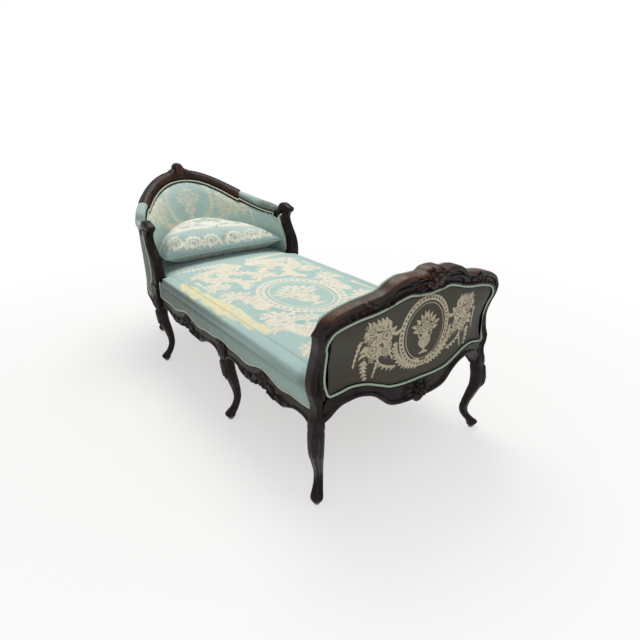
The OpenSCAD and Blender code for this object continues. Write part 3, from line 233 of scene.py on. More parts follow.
def ridge(d, middle, half):
    """A round ridge of height 1 along the line where the distance d has its middle value."""
    return np.sqrt(np.clip(1 - ((d - middle) / half) ** 2, 0, 1))


def off_line(p, line):
    """Distance of each point to a line of points, and how far along it the nearest place lies."""
    line = np.asarray(line, float)
    best, where = np.full(len(p), 1e9), np.zeros(len(p))
    for i in range(len(line) - 1):
        a, ab = line[i], line[i + 1] - line[i]
        u = np.clip(((p - a) @ ab) / max(ab @ ab, 1e-9), 0, 1)
        d = np.hypot(*(p - a - u[:, None] * ab).T)
        near = d < best
        best[near], where[near] = d[near], (i + u[near]) / (len(line) - 1)
    return best, where


def arc(start, turns):
    """Points of a line that starts at a place and heading and turns: [length, angle] pairs."""
    x, y, heading = start
    points = [(x, y)]
    for length, angle in turns:
        for _ in range(6):
            heading += angle / 6
            x += math.cos(math.radians(heading)) * length / 6
            y += math.sin(math.radians(heading)) * length / 6
            points.append((x, y))
    return points


# Ornament is drawn with shapes that give each point its depth inside them, in millimetres, and
# less than zero outside. Carving raises it into relief, and the printed cloths fill it.
def disc(p, c, r):
    return r - np.hypot(*(p - c).T)


def stalk(p, line, start, end):
    d, u = off_line(p, line)
    return start + (end - start) * u - d


def leaf(p, a, b, half, bend=0.0):
    """A pointed leaf from a to b."""
    a, b = np.array(a, float), np.array(b, float)
    length = math.hypot(*(b - a))
    ahead = (b - a) / length
    u = (p - a) @ ahead / length
    v = (p - a) @ np.array([-ahead[1], ahead[0]]) - bend * length * np.sin(np.pi * np.clip(u, 0, 1))
    inside = half * np.sin(np.pi * np.clip(u, 0, 1) ** 0.8) - np.abs(v)
    return np.minimum(inside, np.minimum(u, 1 - u) * length)


def flower(p, c, r, petals, turn=0.0, depth=0.3):
    d = p - c
    angle = np.arctan2(d[:, 1], d[:, 0]) - math.radians(turn)
    edge = r * (1 - depth + depth * np.abs(np.cos(petals * angle / 2)) ** 0.6)
    return edge - np.hypot(*d.T)


def leaf_pairs(line, leaves, length, first, shrink, spread):
    """Root, tip, size and side of each leaf of the pairs along a line, smaller towards its end."""
    for k in range(leaves):
        at = (k + first) / leaves * (len(line) - 1.01)
        i = int(at)
        spot = line[i] + (line[i + 1] - line[i]) * (at - i)
        heading = math.atan2(*(line[i + 1] - line[i])[::-1])
        size = 1 - shrink * k / leaves
        for side in (-1, 1):
            turn = heading + side * math.radians(spread)
            tip = spot + length * size * np.array([math.cos(turn), math.sin(turn)])
            yield spot, tip, size, side


def sprig(p, line, leaves, length, half, spread=50):
    """A carved stalk with pairs of leaves."""
    line = np.asarray(line, float)
    shape = stalk(p, line, half * 0.25, half * 0.15)
    for spot, tip, size, side in leaf_pairs(line, leaves, length, 0.7, 0.45, spread):
        shape = np.maximum(shape, leaf(p, spot, tip, half * size, side * 0.12))
    return shape


def relief(depth, height, edge):
    """Height of carved relief whose edges round over within a width."""
    u = np.clip(depth / edge, 0, 1)
    return height * np.sqrt(1 - (1 - u) ** 2)


def facing_out(rings):
    """Whether a stack of rings of points, seen from outside, turns the way Blender's faces do."""
    ring = rings[len(rings) // 2]
    after = rings[len(rings) // 2 + 1]
    c = ring.mean(0)
    turn = np.cross(ring - c, np.roll(ring, -1, 0) - c).sum(0)
    return turn @ (after.mean(0) - c) > 0


def new_piece(name, points, faces, material, smooth=True):
    mesh = bpy.data.meshes.new(name)
    mesh.from_pydata(np.asarray(points).tolist(), [], faces)
    mesh.validate()
    mesh.polygons.foreach_set("use_smooth", [smooth] * len(mesh.polygons))
    mesh.materials.append(material)
    piece = bpy.data.objects.new(name, mesh)
    bpy.context.scene.collection.objects.link(piece)
    return piece


def skin(rings, closed=False):
    """Points and faces of a solid through rings of points, with its ends closed."""
    rings = np.asarray(rings, float)
    m, n = rings.shape[:2]
    if not facing_out(rings):
        rings = rings[:, ::-1]
    i, j = np.meshgrid(np.arange(m if closed else m - 1), np.arange(n), indexing="ij")
    here, there = i * n, (i + 1) % m * n
    beside = (j + 1) % n
    faces = np.stack([here + j, here + beside, there + beside, there + j], -1)
    faces = faces.reshape(-1, 4).tolist()
    points = rings.reshape(-1, 3)
    if not closed:
        for k, order in ((0, -1), (m - 1, 1)):
            rim = list(range(k * n, k * n + n))
            points = np.vstack([points, rings[k].mean(0)])
            middle = len(points) - 1
            faces += [[rim[q], rim[(q + 1) % n], middle][::order] for q in range(n)]
    return points, faces


def mark(piece, name, values):
    """Lets the mesh carry a value at each of its points."""
    held = piece.data.attributes.new(name, "FLOAT", "POINT")
    held.data.foreach_set("value", np.asarray(values, np.float32))


def spots(piece):
    """Places of a piece's points, in metres."""
    co = np.zeros(len(piece.data.vertices) * 3, np.float32)
    piece.data.vertices.foreach_get("co", co)
    return co.reshape(-1, 3).astype(float)


def outward(piece):
    """Which way each point of the surface faces."""
    normal = np.zeros(len(piece.data.vertices) * 3, np.float32)
    piece.data.vertices.foreach_get("normal", normal)
    return normal.reshape(-1, 3)


def worn(piece, rubbed=1.0, reach=3):
    """Marks how far points stand proud of their neighbours: edges rub, hollows stay dark."""
    co = spots(piece)
    ends = np.zeros(len(piece.data.edges) * 2, int)
    piece.data.edges.foreach_get("vertices", ends)
    a, b = ends.reshape(-1, 2).T
    count = np.bincount(np.r_[a, b], minlength=len(co))[:, None]

    def spread(v):
        total = np.zeros_like(v)
        np.add.at(total, a, v[b])
        np.add.at(total, b, v[a])
        return total / count

    flat = co
    for _ in range(reach):
        flat = spread(flat)
    proud = np.einsum("ij,ij->i", co - flat, outward(piece))[:, None]
    for _ in range(2):
        proud = (proud + spread(proud)) / 2
    x, y, z = (co / MM - [MID_X, 0, 0]).T
    # No edge is rubbed where two pieces meet, so that the joints don't show as tan lines.
    by_side = np.abs(y) > 340
    joint = step(7 - np.abs(z - JOINT_Z), 0, 3)
    joint = joint + (z < RAIL_TOP) * step(7 - np.abs(np.abs(y) - POST_IN), 0, 3)
    joint = joint + (z > JOINT_Z - 2) * by_side * (1 - step(z, 606, 665))
    arm_joint = step(7 - np.abs(z - RAIL_TOP), 0, 3) + step(9 - np.abs(z - 656), 0, 3)
    joint = np.where(x > -FOOT_T, joint, np.where(by_side & (x > -1400), arm_joint, 0))
    kept = 1 - np.minimum(1, joint)
    mark(piece, "proud", np.where(proud[:, 0] > 0, rubbed, 1) * kept * proud[:, 0] / MM)


def dark_walnut():
    """Nearly black walnut: long grain, dull polish, a painted sheen in lighter patches, tan on
    rubbed edges, darker in hollows.
    """
    wood = Finish("dark_walnut")
    grain = wood.noise(26, 6, (0.5, 3, 3))
    pores = wood.noise(240, 2, (0.25, 3, 3))
    patch = wood.noise(7, 3)
    proud = wood.mark("proud")
    base = wood.blend(wood.band(grain, 0.35, 0.7), colour("#0e0805"), colour("#21150f"))
    base = wood.blend(wood.band(patch, 0.35, 0.75, 0, 0.5), base, colour("#1e1517"))
    # Painted sheen: lighter grey-purple patches stand in for highlights on the polish.
    sheen = wood.band(wood.noise(11, 4, (1, 2, 2)), 0.4, 0.75, 0, 0.6)
    base = wood.blend(sheen, base, colour("#352b2d"))
    rub = wood.math("MULTIPLY", wood.band(proud, 0.22, 1.0), wood.band(patch, 0.35, 0.62, 0.25, 1))
    base = wood.blend(wood.math("MULTIPLY", rub, 0.75), base, colour("#6f4a34"))
    # Hollows are darkened towards near black.
    base = wood.blend(wood.band(proud, -0.03, -0.4, 0, 0.8), base, colour("#070504"))
    rough = wood.band(grain, 0.3, 0.8, 0.32, 0.5)
    return wood.done(Base_Color=base, Roughness=rough, Specular_IOR_Level=0.18,
                     Normal=wood.bump(pores, 0.0004, 0.5, wood.bump(grain, 0.0008, 0.4)))


WALNUT = dark_walnut()


def carved(name, rings, side=1, rubbed=0.35):
    """A piece of the walnut frame, made through rings of points in millimetres."""
    points, faces = skin(np.asarray(rings, float) * [1, side, 1])
    piece = new_piece(name + "_carved", place(points), faces, WALNUT)
    worn(piece, rubbed)
    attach(piece, "couch")
    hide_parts(name)
    return piece


SIDES = (("left", 1), ("right", -1))
FOOT_T = 42
POST_HALF = 398
POST_IN = 357
POST_MID = 377.5
RAIL_TOP = 404
JOINT_Z = 600
CREST_RISE = 142
CREST_END = POST_HALF - 4
POST_WAVE = 14
CREST_IN = POST_IN + POST_WAVE * 0.3
SWEEP = 14
FOOT_OUT = 15
FOOT_LEAN = 10
FOOT_BOW = 52
CREST_ROLL = 12
FLOWER_UP = 18
PANEL_Z, PANEL_RISE = 373, 41
ARCH_Z, ARCH_RISE = 292, 78
ARCH_DROP, ARCH_DROP_HALF = 14, 17
WELT = 4.3
GAP = 0.4
CREST_TOP = [[0, 1], [0.2, 1], [0.27, 1], [0.36, 0.915], [0.45, 0.76], [0.54, 0.7], [0.67, 0.634],
             [0.79, 0.535], [0.89, 0.41], [0.945, 0.29], [0.985, 0.13], [1, 0.05]]
CREST_FLOWER = [[0, 1], [0.06, 0.85], [0.11, 0.2], [0.14, 0], [1, 0]]
PANEL_TOP = [[0, 0.479], [0.166, 0.528], [0.24, 0.549], [0.34, 0.493], [0.44, 0.408], [0.57, 0.324],
             [0.72, 0.268], [0.845, 0.19], [0.93, 0.113], [0.975, 0.042], [1, -0.028]]
PANEL_LOW = [[0, 0], [0.17, -0.04], [0.28, 0], [0.375, 0.12], [0.445, 0.37], [0.53, 0.66],
             [0.6, 0.88], [0.7, 1], [0.78, 0.98], [0.87, 0.78], [0.945, 0.63], [1, 0.58]]
FOOT_ARCH = [[0, 0], [0.17, 0.02], [0.3, 0.09], [0.38, 0.25], [0.46, 0.6], [0.55, 0.86],
             [0.63, 0.97], [0.7, 1], [0.78, 0.93], [0.86, 0.8], [0.93, 0.5], [1, 0.03]]
POST_OUT_WAVE = [[0, 0.1], [0.2, -0.1], [0.45, -0.7], [0.7, -0.8], [0.88, -0.5], [1, -0.285]]
POST_IN_WAVE = [[0, 0], [0.2, 0.2], [0.45, 0.1], [0.7, 0.35], [0.86, 0.9], [1, 0.3]]
POST_SWEEP = [[0, 0], [0.14, -0.75], [0.3, -1], [0.48, -0.9], [0.7, -0.1], [0.88, 0.75], [1, 1],
              [3, 1]]


def sweep(y, z):
    """The posts sweep back above the rail and forward again below the crest rail."""
    along = curve(POST_SWEEP, (z - RAIL_TOP) / (JOINT_Z - RAIL_TOP))
    return SWEEP * along * np.minimum(1, np.abs(y) / POST_IN) ** 2


def foot_tilt(z):
    """How far the footboard stands out at a height, before it bows."""
    return FOOT_OUT + FOOT_LEAN * (z - RAIL_TOP) / (JOINT_Z - RAIL_TOP)


def foot_face(y, z):
    """The footboard's outer face leans, bows out in the middle and rolls out at the top."""
    roll = CREST_ROLL * (np.maximum(0, z - JOINT_Z) / CREST_RISE) ** 2
    return foot_tilt(z) + FOOT_BOW * (1 - (y / POST_HALF) ** 2) + roll + sweep(y, z)


POST_BOW = FOOT_BOW * (1 - (POST_MID / POST_HALF) ** 2)


def foot_back(y, z):
    bow = (FOOT_BOW - POST_BOW) * (1 - np.minimum(1, np.abs(y) / POST_IN) ** 2)
    return foot_tilt(z) + POST_BOW - FOOT_T + bow + sweep(y, z)


def crest_top(y):
    u = np.abs(y) / CREST_END
    return JOINT_Z + CREST_RISE * curve(CREST_TOP, u) + FLOWER_UP * curve(CREST_FLOWER, u)


def panel_top(y):
    return JOINT_Z + CREST_RISE * curve(PANEL_TOP, np.abs(y) / CREST_IN)


def panel_low(y):
    return PANEL_Z + PANEL_RISE * curve(PANEL_LOW, np.abs(y) / POST_IN)


def arch_z(y):
    drop = ARCH_DROP * np.exp(-(y / ARCH_DROP_HALF) ** 4)
    return ARCH_Z + ARCH_RISE * curve(FOOT_ARCH, np.abs(y) / POST_IN) - drop


def post_out(z):
    return POST_HALF + POST_WAVE * curve(POST_OUT_WAVE, (z - RAIL_TOP) / (JOINT_Z - RAIL_TOP))


def post_in(z):
    return POST_IN + POST_WAVE * curve(POST_IN_WAVE, (z - RAIL_TOP) / (JOINT_Z - RAIL_TOP))


span = np.linspace(0, 1, 60)
board_side = [(post_out(z), z) for z in np.linspace(300, JOINT_Z, 30)]
board_top = [(CREST_END * (1 - (1 - u) ** 1.25), crest_top(CREST_END * (1 - (1 - u) ** 1.25)))
             for u in span[::-1]]
BOARD_EDGE = np.array([(y, z) for y, z in board_side + board_top])
opening_side = [(post_in(z), z) for z in np.linspace(RAIL_TOP - 2, JOINT_Z - 4, 24)]
opening_top = [(y, panel_top(y)) for y in np.linspace(CREST_IN, 0, 60)]
opening_low = [(y, panel_low(y)) for y in np.linspace(0, POST_IN, 60)]
OPENING_EDGE = np.array(opening_low + opening_side + opening_top)
ARCH_EDGE = np.array([(y, arch_z(y)) for y in np.linspace(0, POST_IN, 80)])


def board_carving(y, z):
    """Relief of the footboard's frame, in millimetres out of its face."""
    p = np.column_stack([np.abs(y).ravel(), z.ravel()])
    q = np.column_stack([y.ravel(), z.ravel()])
    rim = off_line(p, BOARD_EDGE)[0]
    mouth = off_line(p, OPENING_EDGE)[0]
    low = off_line(p, ARCH_EDGE)[0]
    h = 3.6 * ridge(rim, 9, 9) + 2.4 * ridge(mouth, 6, 5) + 2.6 * ridge(low, 7, 6.5)
    h -= 6 * step(rim, 15, 22) * step(mouth, 9, 15) * step(low, 12, 18)
    scroll = arc((34, 712, -22),
                 [[60, 25], [50, -20], [40, -50], [26, -110], [18, -130], [10, -100]])
    h += relief(stalk(p, scroll, 8, 4), 6, 8)
    wave = arc((26, 692, -12), [[34, -40], [34, 60], [34, -50], [26, 40]])
    h += relief(stalk(p, wave, 8, 3), 6, 6)
    for start, tip, half in (((18, 722), (78, 738), 11), ((16, 712), (86, 708), 12),
                             ((14, 700), (62, 676), 10)):
        blade = leaf(p, start, tip, half, 0.16)
        h += relief(blade, 8, 7) - 2.5 * ridge(leaf(p, start, tip, half * 0.3, 0.16), 0, 1.2)
    for cz, r, tall in ((722, 38, 17), (320, 28, 14)):
        petals = flower(q, (0, cz), r, 6, 90, 0.36)
        h = np.where(petals > 0, np.maximum(h, 2 + relief(petals, tall, r * 0.36)), h)
        inner = flower(q, (0, cz), r * 0.62, 5, 18, 0.34)
        h += relief(inner, tall * 0.4, 6) - 5 * ridge(inner, 0, 2.2) - 4 * ridge(petals, r * 0.2, 2)
        h += relief(disc(q, (0, cz), r * 0.24), 5, 5)
    for start, tip in (((20, 330), (74, 322)), ((20, 318), (58, 298)), ((22, 342), (64, 352))):
        h += relief(leaf(p, start, tip, 10, 0.14), 7, 6)
    side_leaf = arc((214, 668, 35), [[26, -20], [24, 60], [12, 120], [8, 140]])
    h += relief(stalk(p, side_leaf, 9, 4), 7, 7)
    tail = arc((320, 640, 150), [[50, 16], [50, 6]])
    h += relief(sprig(p, tail, 4, 20, 6, 34), 4, 4)
    return h.reshape(np.shape(y))


def rounded(count, corner_top, corner_low, height, thick):
    """A board's section as (depth, drop) pairs: down its face, under it, up its back and over."""
    quarter = np.linspace(0, np.pi / 2, 7)
    face = [(0, v) for v in np.linspace(corner_top, height - corner_low, count)]
    low = [(corner_low * (1 - math.cos(q)), height - corner_low * (1 - math.sin(q)))
           for q in quarter[1:]]
    back_low = [(thick - corner_low * (1 - math.sin(q)), height - corner_low * (1 - math.cos(q)))
                for q in quarter]
    back_top = [(thick - corner_top * (1 - math.cos(q)), corner_top * (1 - math.sin(q)))
                for q in quarter]
    top = [(corner_top * (1 - math.sin(q)), corner_top * (1 - math.cos(q))) for q in quarter[:-1]]
    return np.array(face + low + back_low + back_top + top)


def face_only(depth, thick):
    return 1 - step(depth / thick, 0.12, 0.4)


def through_board(y, z, depth):
    """How far out a point of the footboard lies, at a depth behind its face."""
    return foot_face(y, z) * (1 - depth / FOOT_T) + foot_back(y, z) * depth / FOOT_T


def foot_crest():
    rings = []
    for u in np.linspace(-1, 1, 420):
        y = np.sign(u) * CREST_END * (1 - (1 - abs(u)) ** 1.25)
        top = crest_top(y)
        low = JOINT_Z if abs(y) >= CREST_IN else max(JOINT_Z, panel_top(y) + WELT + 2 * GAP)
        corner = 0.4 if abs(y) >= CREST_IN else 3
        section = rounded(46, min(10, (top - low) / 2.4), corner, top - low, FOOT_T)
        z = top - section[:, 1]
        depth = section[:, 0]
        x = through_board(y, z, depth)
        rings.append(np.column_stack([x, np.full(len(x), y), z]))
    rings = np.array(rings)
    lift = board_carving(rings[..., 1], rings[..., 2])
    lift *= face_only(rounded(46, 9, 3, 100, FOOT_T)[None, :, 0], FOOT_T)
    rings[..., 0] += lift
    return rings


carved("foot_crest_rail", foot_crest(), rubbed=1)

# The two foot posts: each is one piece of walnut from the toe to the crest rail. A cabriole leg
# swings in from the knee to the ankle, the post draws in above the knee, and the footboard's bead
# and hollow run down its face. A leaf is cut in the knee.
GLIDE_H = 10
LEG_H = 285
ANKLE = 14.5
KNEE = 26
LEG_SWING = 27
POST_DRAW_IN = 12
# Each row is a height share, how far the middle of the leg swings and how thick it is there.
FOOT_LEG = [[0, 0.05, 0.05], [0.03, 0.09, 0.36], [0.065, 0.03, 0.42], [0.13, -0.45, 0.16],
            [0.2, -0.8, 0.02], [0.28, -0.9, 0], [0.37, -0.75, 0.07], [0.46, -0.5, 0.25],
            [0.56, -0.22, 0.48], [0.65, 0.05, 0.7], [0.75, 0.15, 0.84], [0.85, 0.14, 0.9],
            [0.93, 0.05, 0.92], [1, 0, 0.84]]
POST_WAIST = [[0, 0.1], [0.2, 0.25], [0.42, 0.9], [0.64, 1], [0.85, 0.3], [1, 0]]
POST_BACK = foot_back(POST_MID, RAIL_TOP)
FOOT_MID_X = POST_BACK + FOOT_T / 2


def ring_of(centre, half, power=3.0, count=64):
    """A rounded square, from the middle of its +X side, as offsets and the place along it."""
    w = np.linspace(0, 2 * np.pi, count, endpoint=False)
    c, s = np.cos(w), np.sin(w)
    reach = (np.abs(c) ** power + np.abs(s) ** power) ** (-1 / power)
    return np.column_stack([centre[0] + half[0] * reach * c, centre[1] + half[1] * reach * s]), w


def upright(flat, z):
    return np.column_stack([flat, np.full(len(flat), float(z))])


def leg_carving(w, z, outward):
    """A ridge down the outer corner, a cut leaf on the knee and a scrolled toe."""
    off = np.angle(np.exp(1j * (w - outward)))
    s = (z - GLIDE_H) / (LEG_H - GLIDE_H)
    ridge_down = 1.6 * np.exp(-(off / 0.22) ** 2) * step(s, 0.1, 0.3) * (1 - step(s, 0.5, 0.66))
    hollow = -1.1 * np.exp(-((np.abs(off) - 0.62) / 0.22) ** 2) * step(s, 0.15, 0.4)
    drop = (s - 0.8) / 0.17
    wide = 0.62 * np.sqrt(np.clip(1 - drop ** 2, 0, 1)) * (1.15 + 0.35 * drop)
    leaf_in = np.clip((wide - np.abs(off)) / 0.2, 0, 1)
    ribs = 0.5 + 0.5 * np.cos(off * 26)
    knee = (3.2 + 1.7 * ribs) * np.sqrt(leaf_in) * (np.abs(drop) < 1)
    chevron = 2.4 * np.exp(-((np.abs(off) * 0.5 + drop * 0.32 + 0.05) / 0.07) ** 2) * (leaf_in > 0)
    toe = 2.2 * np.exp(-((s - 0.045) / 0.022) ** 2) * np.exp(-(off / 0.7) ** 2)
    toe -= 1.2 * np.exp(-((s - 0.085) / 0.014) ** 2) * np.exp(-(off / 0.8) ** 2)
    return ridge_down + hollow + knee + chevron + toe


def leg_rings(mid, inner, table, swing, half, power=2.8, count=64):
    """Rings of a cabriole leg: mid is the knee's middle, inner the way that it swings."""
    rings = []
    for s in np.linspace(0, 0.995, 90):
        go, thick = (curve_of(table, k, s) for k in (1, 2))
        centre = np.array(mid) - np.array(inner) * go * swing
        flat, w = ring_of(centre, [ANKLE + (h - ANKLE) * thick for h in half], power, count)
        out = flat - centre
        out /= np.linalg.norm(out, axis=1)[:, None]
        z = GLIDE_H + s * (LEG_H - GLIDE_H)
        flat = flat + out * leg_carving(w, z, math.atan2(-inner[1], -inner[0]))[:, None]
        rings.append(upright(flat, z))
    return rings


def squared(x0, x1, y0, y1, corner, count=64):
    """A post's section with rounded corners, starting at the middle of its +X side."""
    half = np.array([x1 - x0, y1 - y0]) / 2
    power = 2 + 8 * (1 - min(1, corner))
    return ring_of(((x0 + x1) / 2, (y0 + y1) / 2), half, power, count)[0]


def foot_post():
    rings = leg_rings((FOOT_MID_X, POST_MID), (-1, -1), FOOT_LEG, LEG_SWING, (KNEE, KNEE))
    for u in np.linspace(0, 1, 36)[1:]:
        z = LEG_H + (RAIL_TOP - LEG_H) * u
        waist = POST_DRAW_IN * curve(POST_WAIST, u)
        knee = 3.5 * (1 - step(u, 0, 0.5))
        front = POST_BACK + FOOT_T - waist / 4 + knee
        flat = squared(POST_BACK - knee, front, POST_IN - knee, POST_HALF - waist + knee,
                       0.75 - 0.45 * u)
        ring = upright(flat, z)
        grow = step(u, 0.5, 1)
        front_part = face_only(front - flat[:, 0], FOOT_T)
        ring[:, 0] += front_part * grow * (foot_face(flat[:, 1], z) - front)
        ring[:, 0] += front_part * step(u, 0.1, 0.5) * board_carving(ring[:, 1], ring[:, 2])
        rings.append(ring)
    for z in np.linspace(RAIL_TOP, JOINT_Z, 70)[1:]:
        flat = squared(0, FOOT_T, post_in(z), post_out(z), 0.3)
        share = flat[:, 0] / FOOT_T
        x = foot_face(flat[:, 1], z) * share + foot_back(flat[:, 1], z) * (1 - share)
        ring = np.column_stack([x, flat[:, 1], np.full(len(x), z)])
        ring[:, 0] += face_only(FOOT_T - flat[:, 0], FOOT_T) * board_carving(ring[:, 1], ring[:, 2])
        rings.append(ring)
    return rings


for word, side in SIDES:
    carved("foot_post_" + word, foot_post(), side)

# The footboard's lower rail: one board between the posts, sawn to arches below, with a carved
# flower in the middle and leaves along its face. It is stepped behind the outer panel.


def foot_low():
    rings = []
    for y in np.linspace(-POST_IN, POST_IN, 360):
        top, low = panel_low(y) - WELT - 2 * GAP, arch_z(y)
        section = rounded(46, 2, 4, top - low, FOOT_T)
        z = top - section[:, 1]
        depth = section[:, 0]
        back = depth > FOOT_T * 0.6
        z = np.where(back & (section[:, 1] < 8), RAIL_TOP - 1, z)
        x = through_board(y, z, depth)
        lift = board_carving(np.full(len(z), y), z)
        lift = lift - 9 * step(abs(y), 335, POST_IN) * (1 - step(z, 330, 380))
        lift *= face_only(depth, FOOT_T)
        rings.append(np.column_stack([x + lift, np.full(len(x), y), z]))
    return rings


carved("foot_lower_rail", foot_low())

# The middle and head legs: cabriole legs with a block that the side rails are tenoned into. The
# knee is carved and its bead runs on into the rails on both sides.
SIDE_SWING_SHARES = [0.1, 0.14, 0.08, -0.4, -0.7, -0.9, -0.9, -0.78, -0.58, -0.36, -0.16,
                     -0.04, 0, 0]
SIDE_LEG = [[r[0], swing, r[2]] for r, swing in zip(FOOT_LEG[:-1], SIDE_SWING_SHARES)] + [[1, 0, 1]]
SIDE_SWING = 35
RAIL_HALF = 388
REBATE = 8
RAIL_T = 34
SHOW_Z = 336
SHOW_RISE = 22
LEDGE_Z = SHOW_Z + SHOW_RISE * 0.8
RAIL_LOW, LOBE_DROP = 305, 28
BLOCK_IN = 346
BLOCK_OUT = 394
HEAD_IN = 352
HEAD_OUT = 406
LEG_SIDE = 32.5
MID_LEG_X = -623
HEAD_X = -1300
HEAD_LEG_X = HEAD_X - 5


def block_leg(x, y_in, y_out, ledge):
    rings = leg_rings((x, y_out - KNEE), (0, -1), SIDE_LEG, SIDE_SWING, (LEG_SIDE, KNEE), 2.6, 72)
    for z in np.linspace(LEG_H, ledge, 26):
        u = (z - LEG_H) / (ledge - LEG_H)
        flat = squared(x - LEG_SIDE, x + LEG_SIDE, y_in, y_out, 0.7 - 0.5 * step(u, 0, 0.5), 72)
        along = np.abs(flat[:, 0] - x)
        front = step(flat[:, 1], y_out - 14, y_out - 6)
        leaf_shape = 25 * np.sqrt(np.clip(1 - ((z - 322) / 34) ** 2, 0, 1)) - along
        lift = relief(leaf_shape, 5, 9) * (0.75 + 0.25 * np.cos(along / 2.4))
        lift = lift + 1.8 * ridge(along, LEG_SIDE - 5, 5)
        flat[:, 1] += front * lift
        rings.append(upright(flat, z))
    if ledge < RAIL_TOP:
        for z in (ledge + 0.5, RAIL_TOP):
            flat = squared(x - LEG_SIDE, x + LEG_SIDE, y_in, RAIL_HALF - REBATE, 0.15, 72)
            rings.append(upright(flat, z))
    return rings


for word, side in SIDES:
    carved("mid_leg_" + word, block_leg(MID_LEG_X, BLOCK_IN, BLOCK_OUT, LEDGE_Z), side)
    carved("head_leg_" + word, block_leg(HEAD_LEG_X, BLOCK_IN + 6, HEAD_OUT, RAIL_TOP), side)

# The side rails: four boards between the legs. Their lower edge hangs in carved lobes with a shell
# in each bay, the show wood above ends in a wave, and the cover is nailed in the step behind it.
SHOW_WAVE = [[-1, 0.8], [-0.92, 0.5], [-0.62, 0.35], [-0.4, 0], [0, 1.1], [0.4, 0], [0.62, 0.35],
             [0.86, 0.3], [1, 0.45]]
LOBES = [[0, 0.2], [0.1, 0.5], [0.2, 0.62], [0.33, 0.93], [0.45, 1], [0.56, 0.55], [0.7, 0.05],
         [0.85, 0], [0.94, 0.25], [1, 0.75]]
FOOT_BAY = (MID_LEG_X + LEG_SIDE, POST_BACK)
HEAD_BAY = (HEAD_LEG_X + LEG_SIDE, MID_LEG_X - LEG_SIDE)


def bay_u(bay, x):
    """Place in a bay between two legs, from -1 to 1."""
    return (2 * x - bay[0] - bay[1]) / (bay[1] - bay[0])


def bay_show(bay, x):
    return SHOW_Z + SHOW_RISE * curve(SHOW_WAVE, bay_u(bay, x) * (-1 if bay is HEAD_BAY else 1))


def bay_low(bay, x):
    return RAIL_LOW - LOBE_DROP * curve(LOBES, np.abs(bay_u(bay, x)))


def rail_section(count, top, low):
    """Heights and depths round a rail, which is stepped up behind for the cover's tacks."""
    section = rounded(count, 2, 5, top - low, RAIL_T)
    z, depth = top - section[:, 1], section[:, 0]
    return np.where((depth > REBATE) & (section[:, 1] < 5), RAIL_TOP, z), depth


def side_rail(bay):
    xs = np.linspace(*bay, 260)
    edge = np.column_stack([xs, bay_low(bay, xs)])
    middle, half = (bay[0] + bay[1]) / 2, (bay[1] - bay[0]) / 2
    rings = []
    for x in xs:
        z, depth = rail_section(34, bay_show(bay, x), bay_low(bay, x))
        rings.append(np.column_stack([np.full(len(z), x), RAIL_HALF - depth, z]))
    rings = np.array(rings)
    p = np.column_stack([rings[..., 0].ravel(), rings[..., 2].ravel()])
    rim = off_line(p, edge)[0]
    q = np.column_stack([np.abs(p[:, 0] - middle), p[:, 1]])
    lift = 2.6 * ridge(rim, 6, 5.5) - 2.4 * step(rim, 11, 16)
    shell = (0, 322)
    d = q - shell
    angle = np.arctan2(d[:, 1], d[:, 0])
    reach = np.hypot(*d.T)
    fan = relief(34 - reach, 8, 12) * (0.72 + 0.28 * np.cos(angle * 11)) * (reach > 7)
    lift += fan + relief(disc(q, shell, 8), 9, 6)
    leaves = (((26, 316), (78, 296), 13, 7), ((34, 300), (86, 284), 12, 8),
              ((78, 298), (128, 284), 13, 7), ((92, 308), (150, 306), 9, 5),
              ((128, 288), (176, 302), 10, 5))
    for k, (a, b, half_w, high) in enumerate(leaves):
        inside = leaf(q, a, b, half_w, 0.12 * (-1) ** k)
        vein = 1.6 * np.exp(-((inside - half_w * 0.8) / 1.6) ** 2) * (inside > 0)
        lift += relief(inside, high, 6) - vein
    lift *= face_only(RAIL_HALF - rings[..., 1].ravel(), RAIL_T / 2)
    rings[..., 1] += lift.reshape(rings.shape[:2])
    return rings


for word, side in SIDES:
    carved("side_rail_foot_" + word, side_rail(FOOT_BAY), side)
    carved("side_rail_head_" + word, side_rail(HEAD_BAY), side)

# The rails round the head end: three boards sawn to the curve, tenoned into the head legs and the
# rear legs, with the same bead below and a low hump in the show wood.
LEAN_Z = RAIL_TOP + 34
HEAD_DEPTH, BACK_RAKE = 467, 121
ARM_Z = 679
CREST_Z = 851
HEAD_SQUARE = 2.2
TOP_FALL = 2.2
PLAN_POWER = 2 / HEAD_SQUARE
ARM_SIDE = 404
REAR_A, CREST_A, ARM_PAD_A, ARM_A = 38, 45, 77, 90
REAR_HALF, SEAM_A = 21, 0.03


def head_d(z):
    return HEAD_DEPTH + BACK_RAKE * np.maximum(0, z - LEAN_Z) / (CREST_Z - LEAN_Z)


def head_pt(a, t, z):
    """A point of the head end, at an angle from the middle of the back, a depth inside its outer
    face and a height."""
    a, t, z = np.broadcast_arrays(np.radians(np.asarray(a, float)), t, z)
    c, s = np.maximum(np.cos(a), 0) ** PLAN_POWER, np.abs(np.sin(a)) ** PLAN_POWER
    return np.stack([HEAD_X - (head_d(z) - t) * c, np.sign(a) * (ARM_SIDE - t) * s, z * 1.0], -1)


def head_a(back, t, z):
    share = np.clip(np.maximum(0, back) / (head_d(z) - t), 0, 1)
    return np.degrees(np.arccos(share ** (1 / PLAN_POWER)))


def top_z(a):
    """Height of the head end's top at an angle: high at the back, level on the arms."""
    turn = np.radians(np.minimum(np.abs(a) * ARM_A / ARM_PAD_A, ARM_A))
    return ARM_Z + (CREST_Z - ARM_Z) * np.maximum(0, np.cos(turn)) ** TOP_FALL


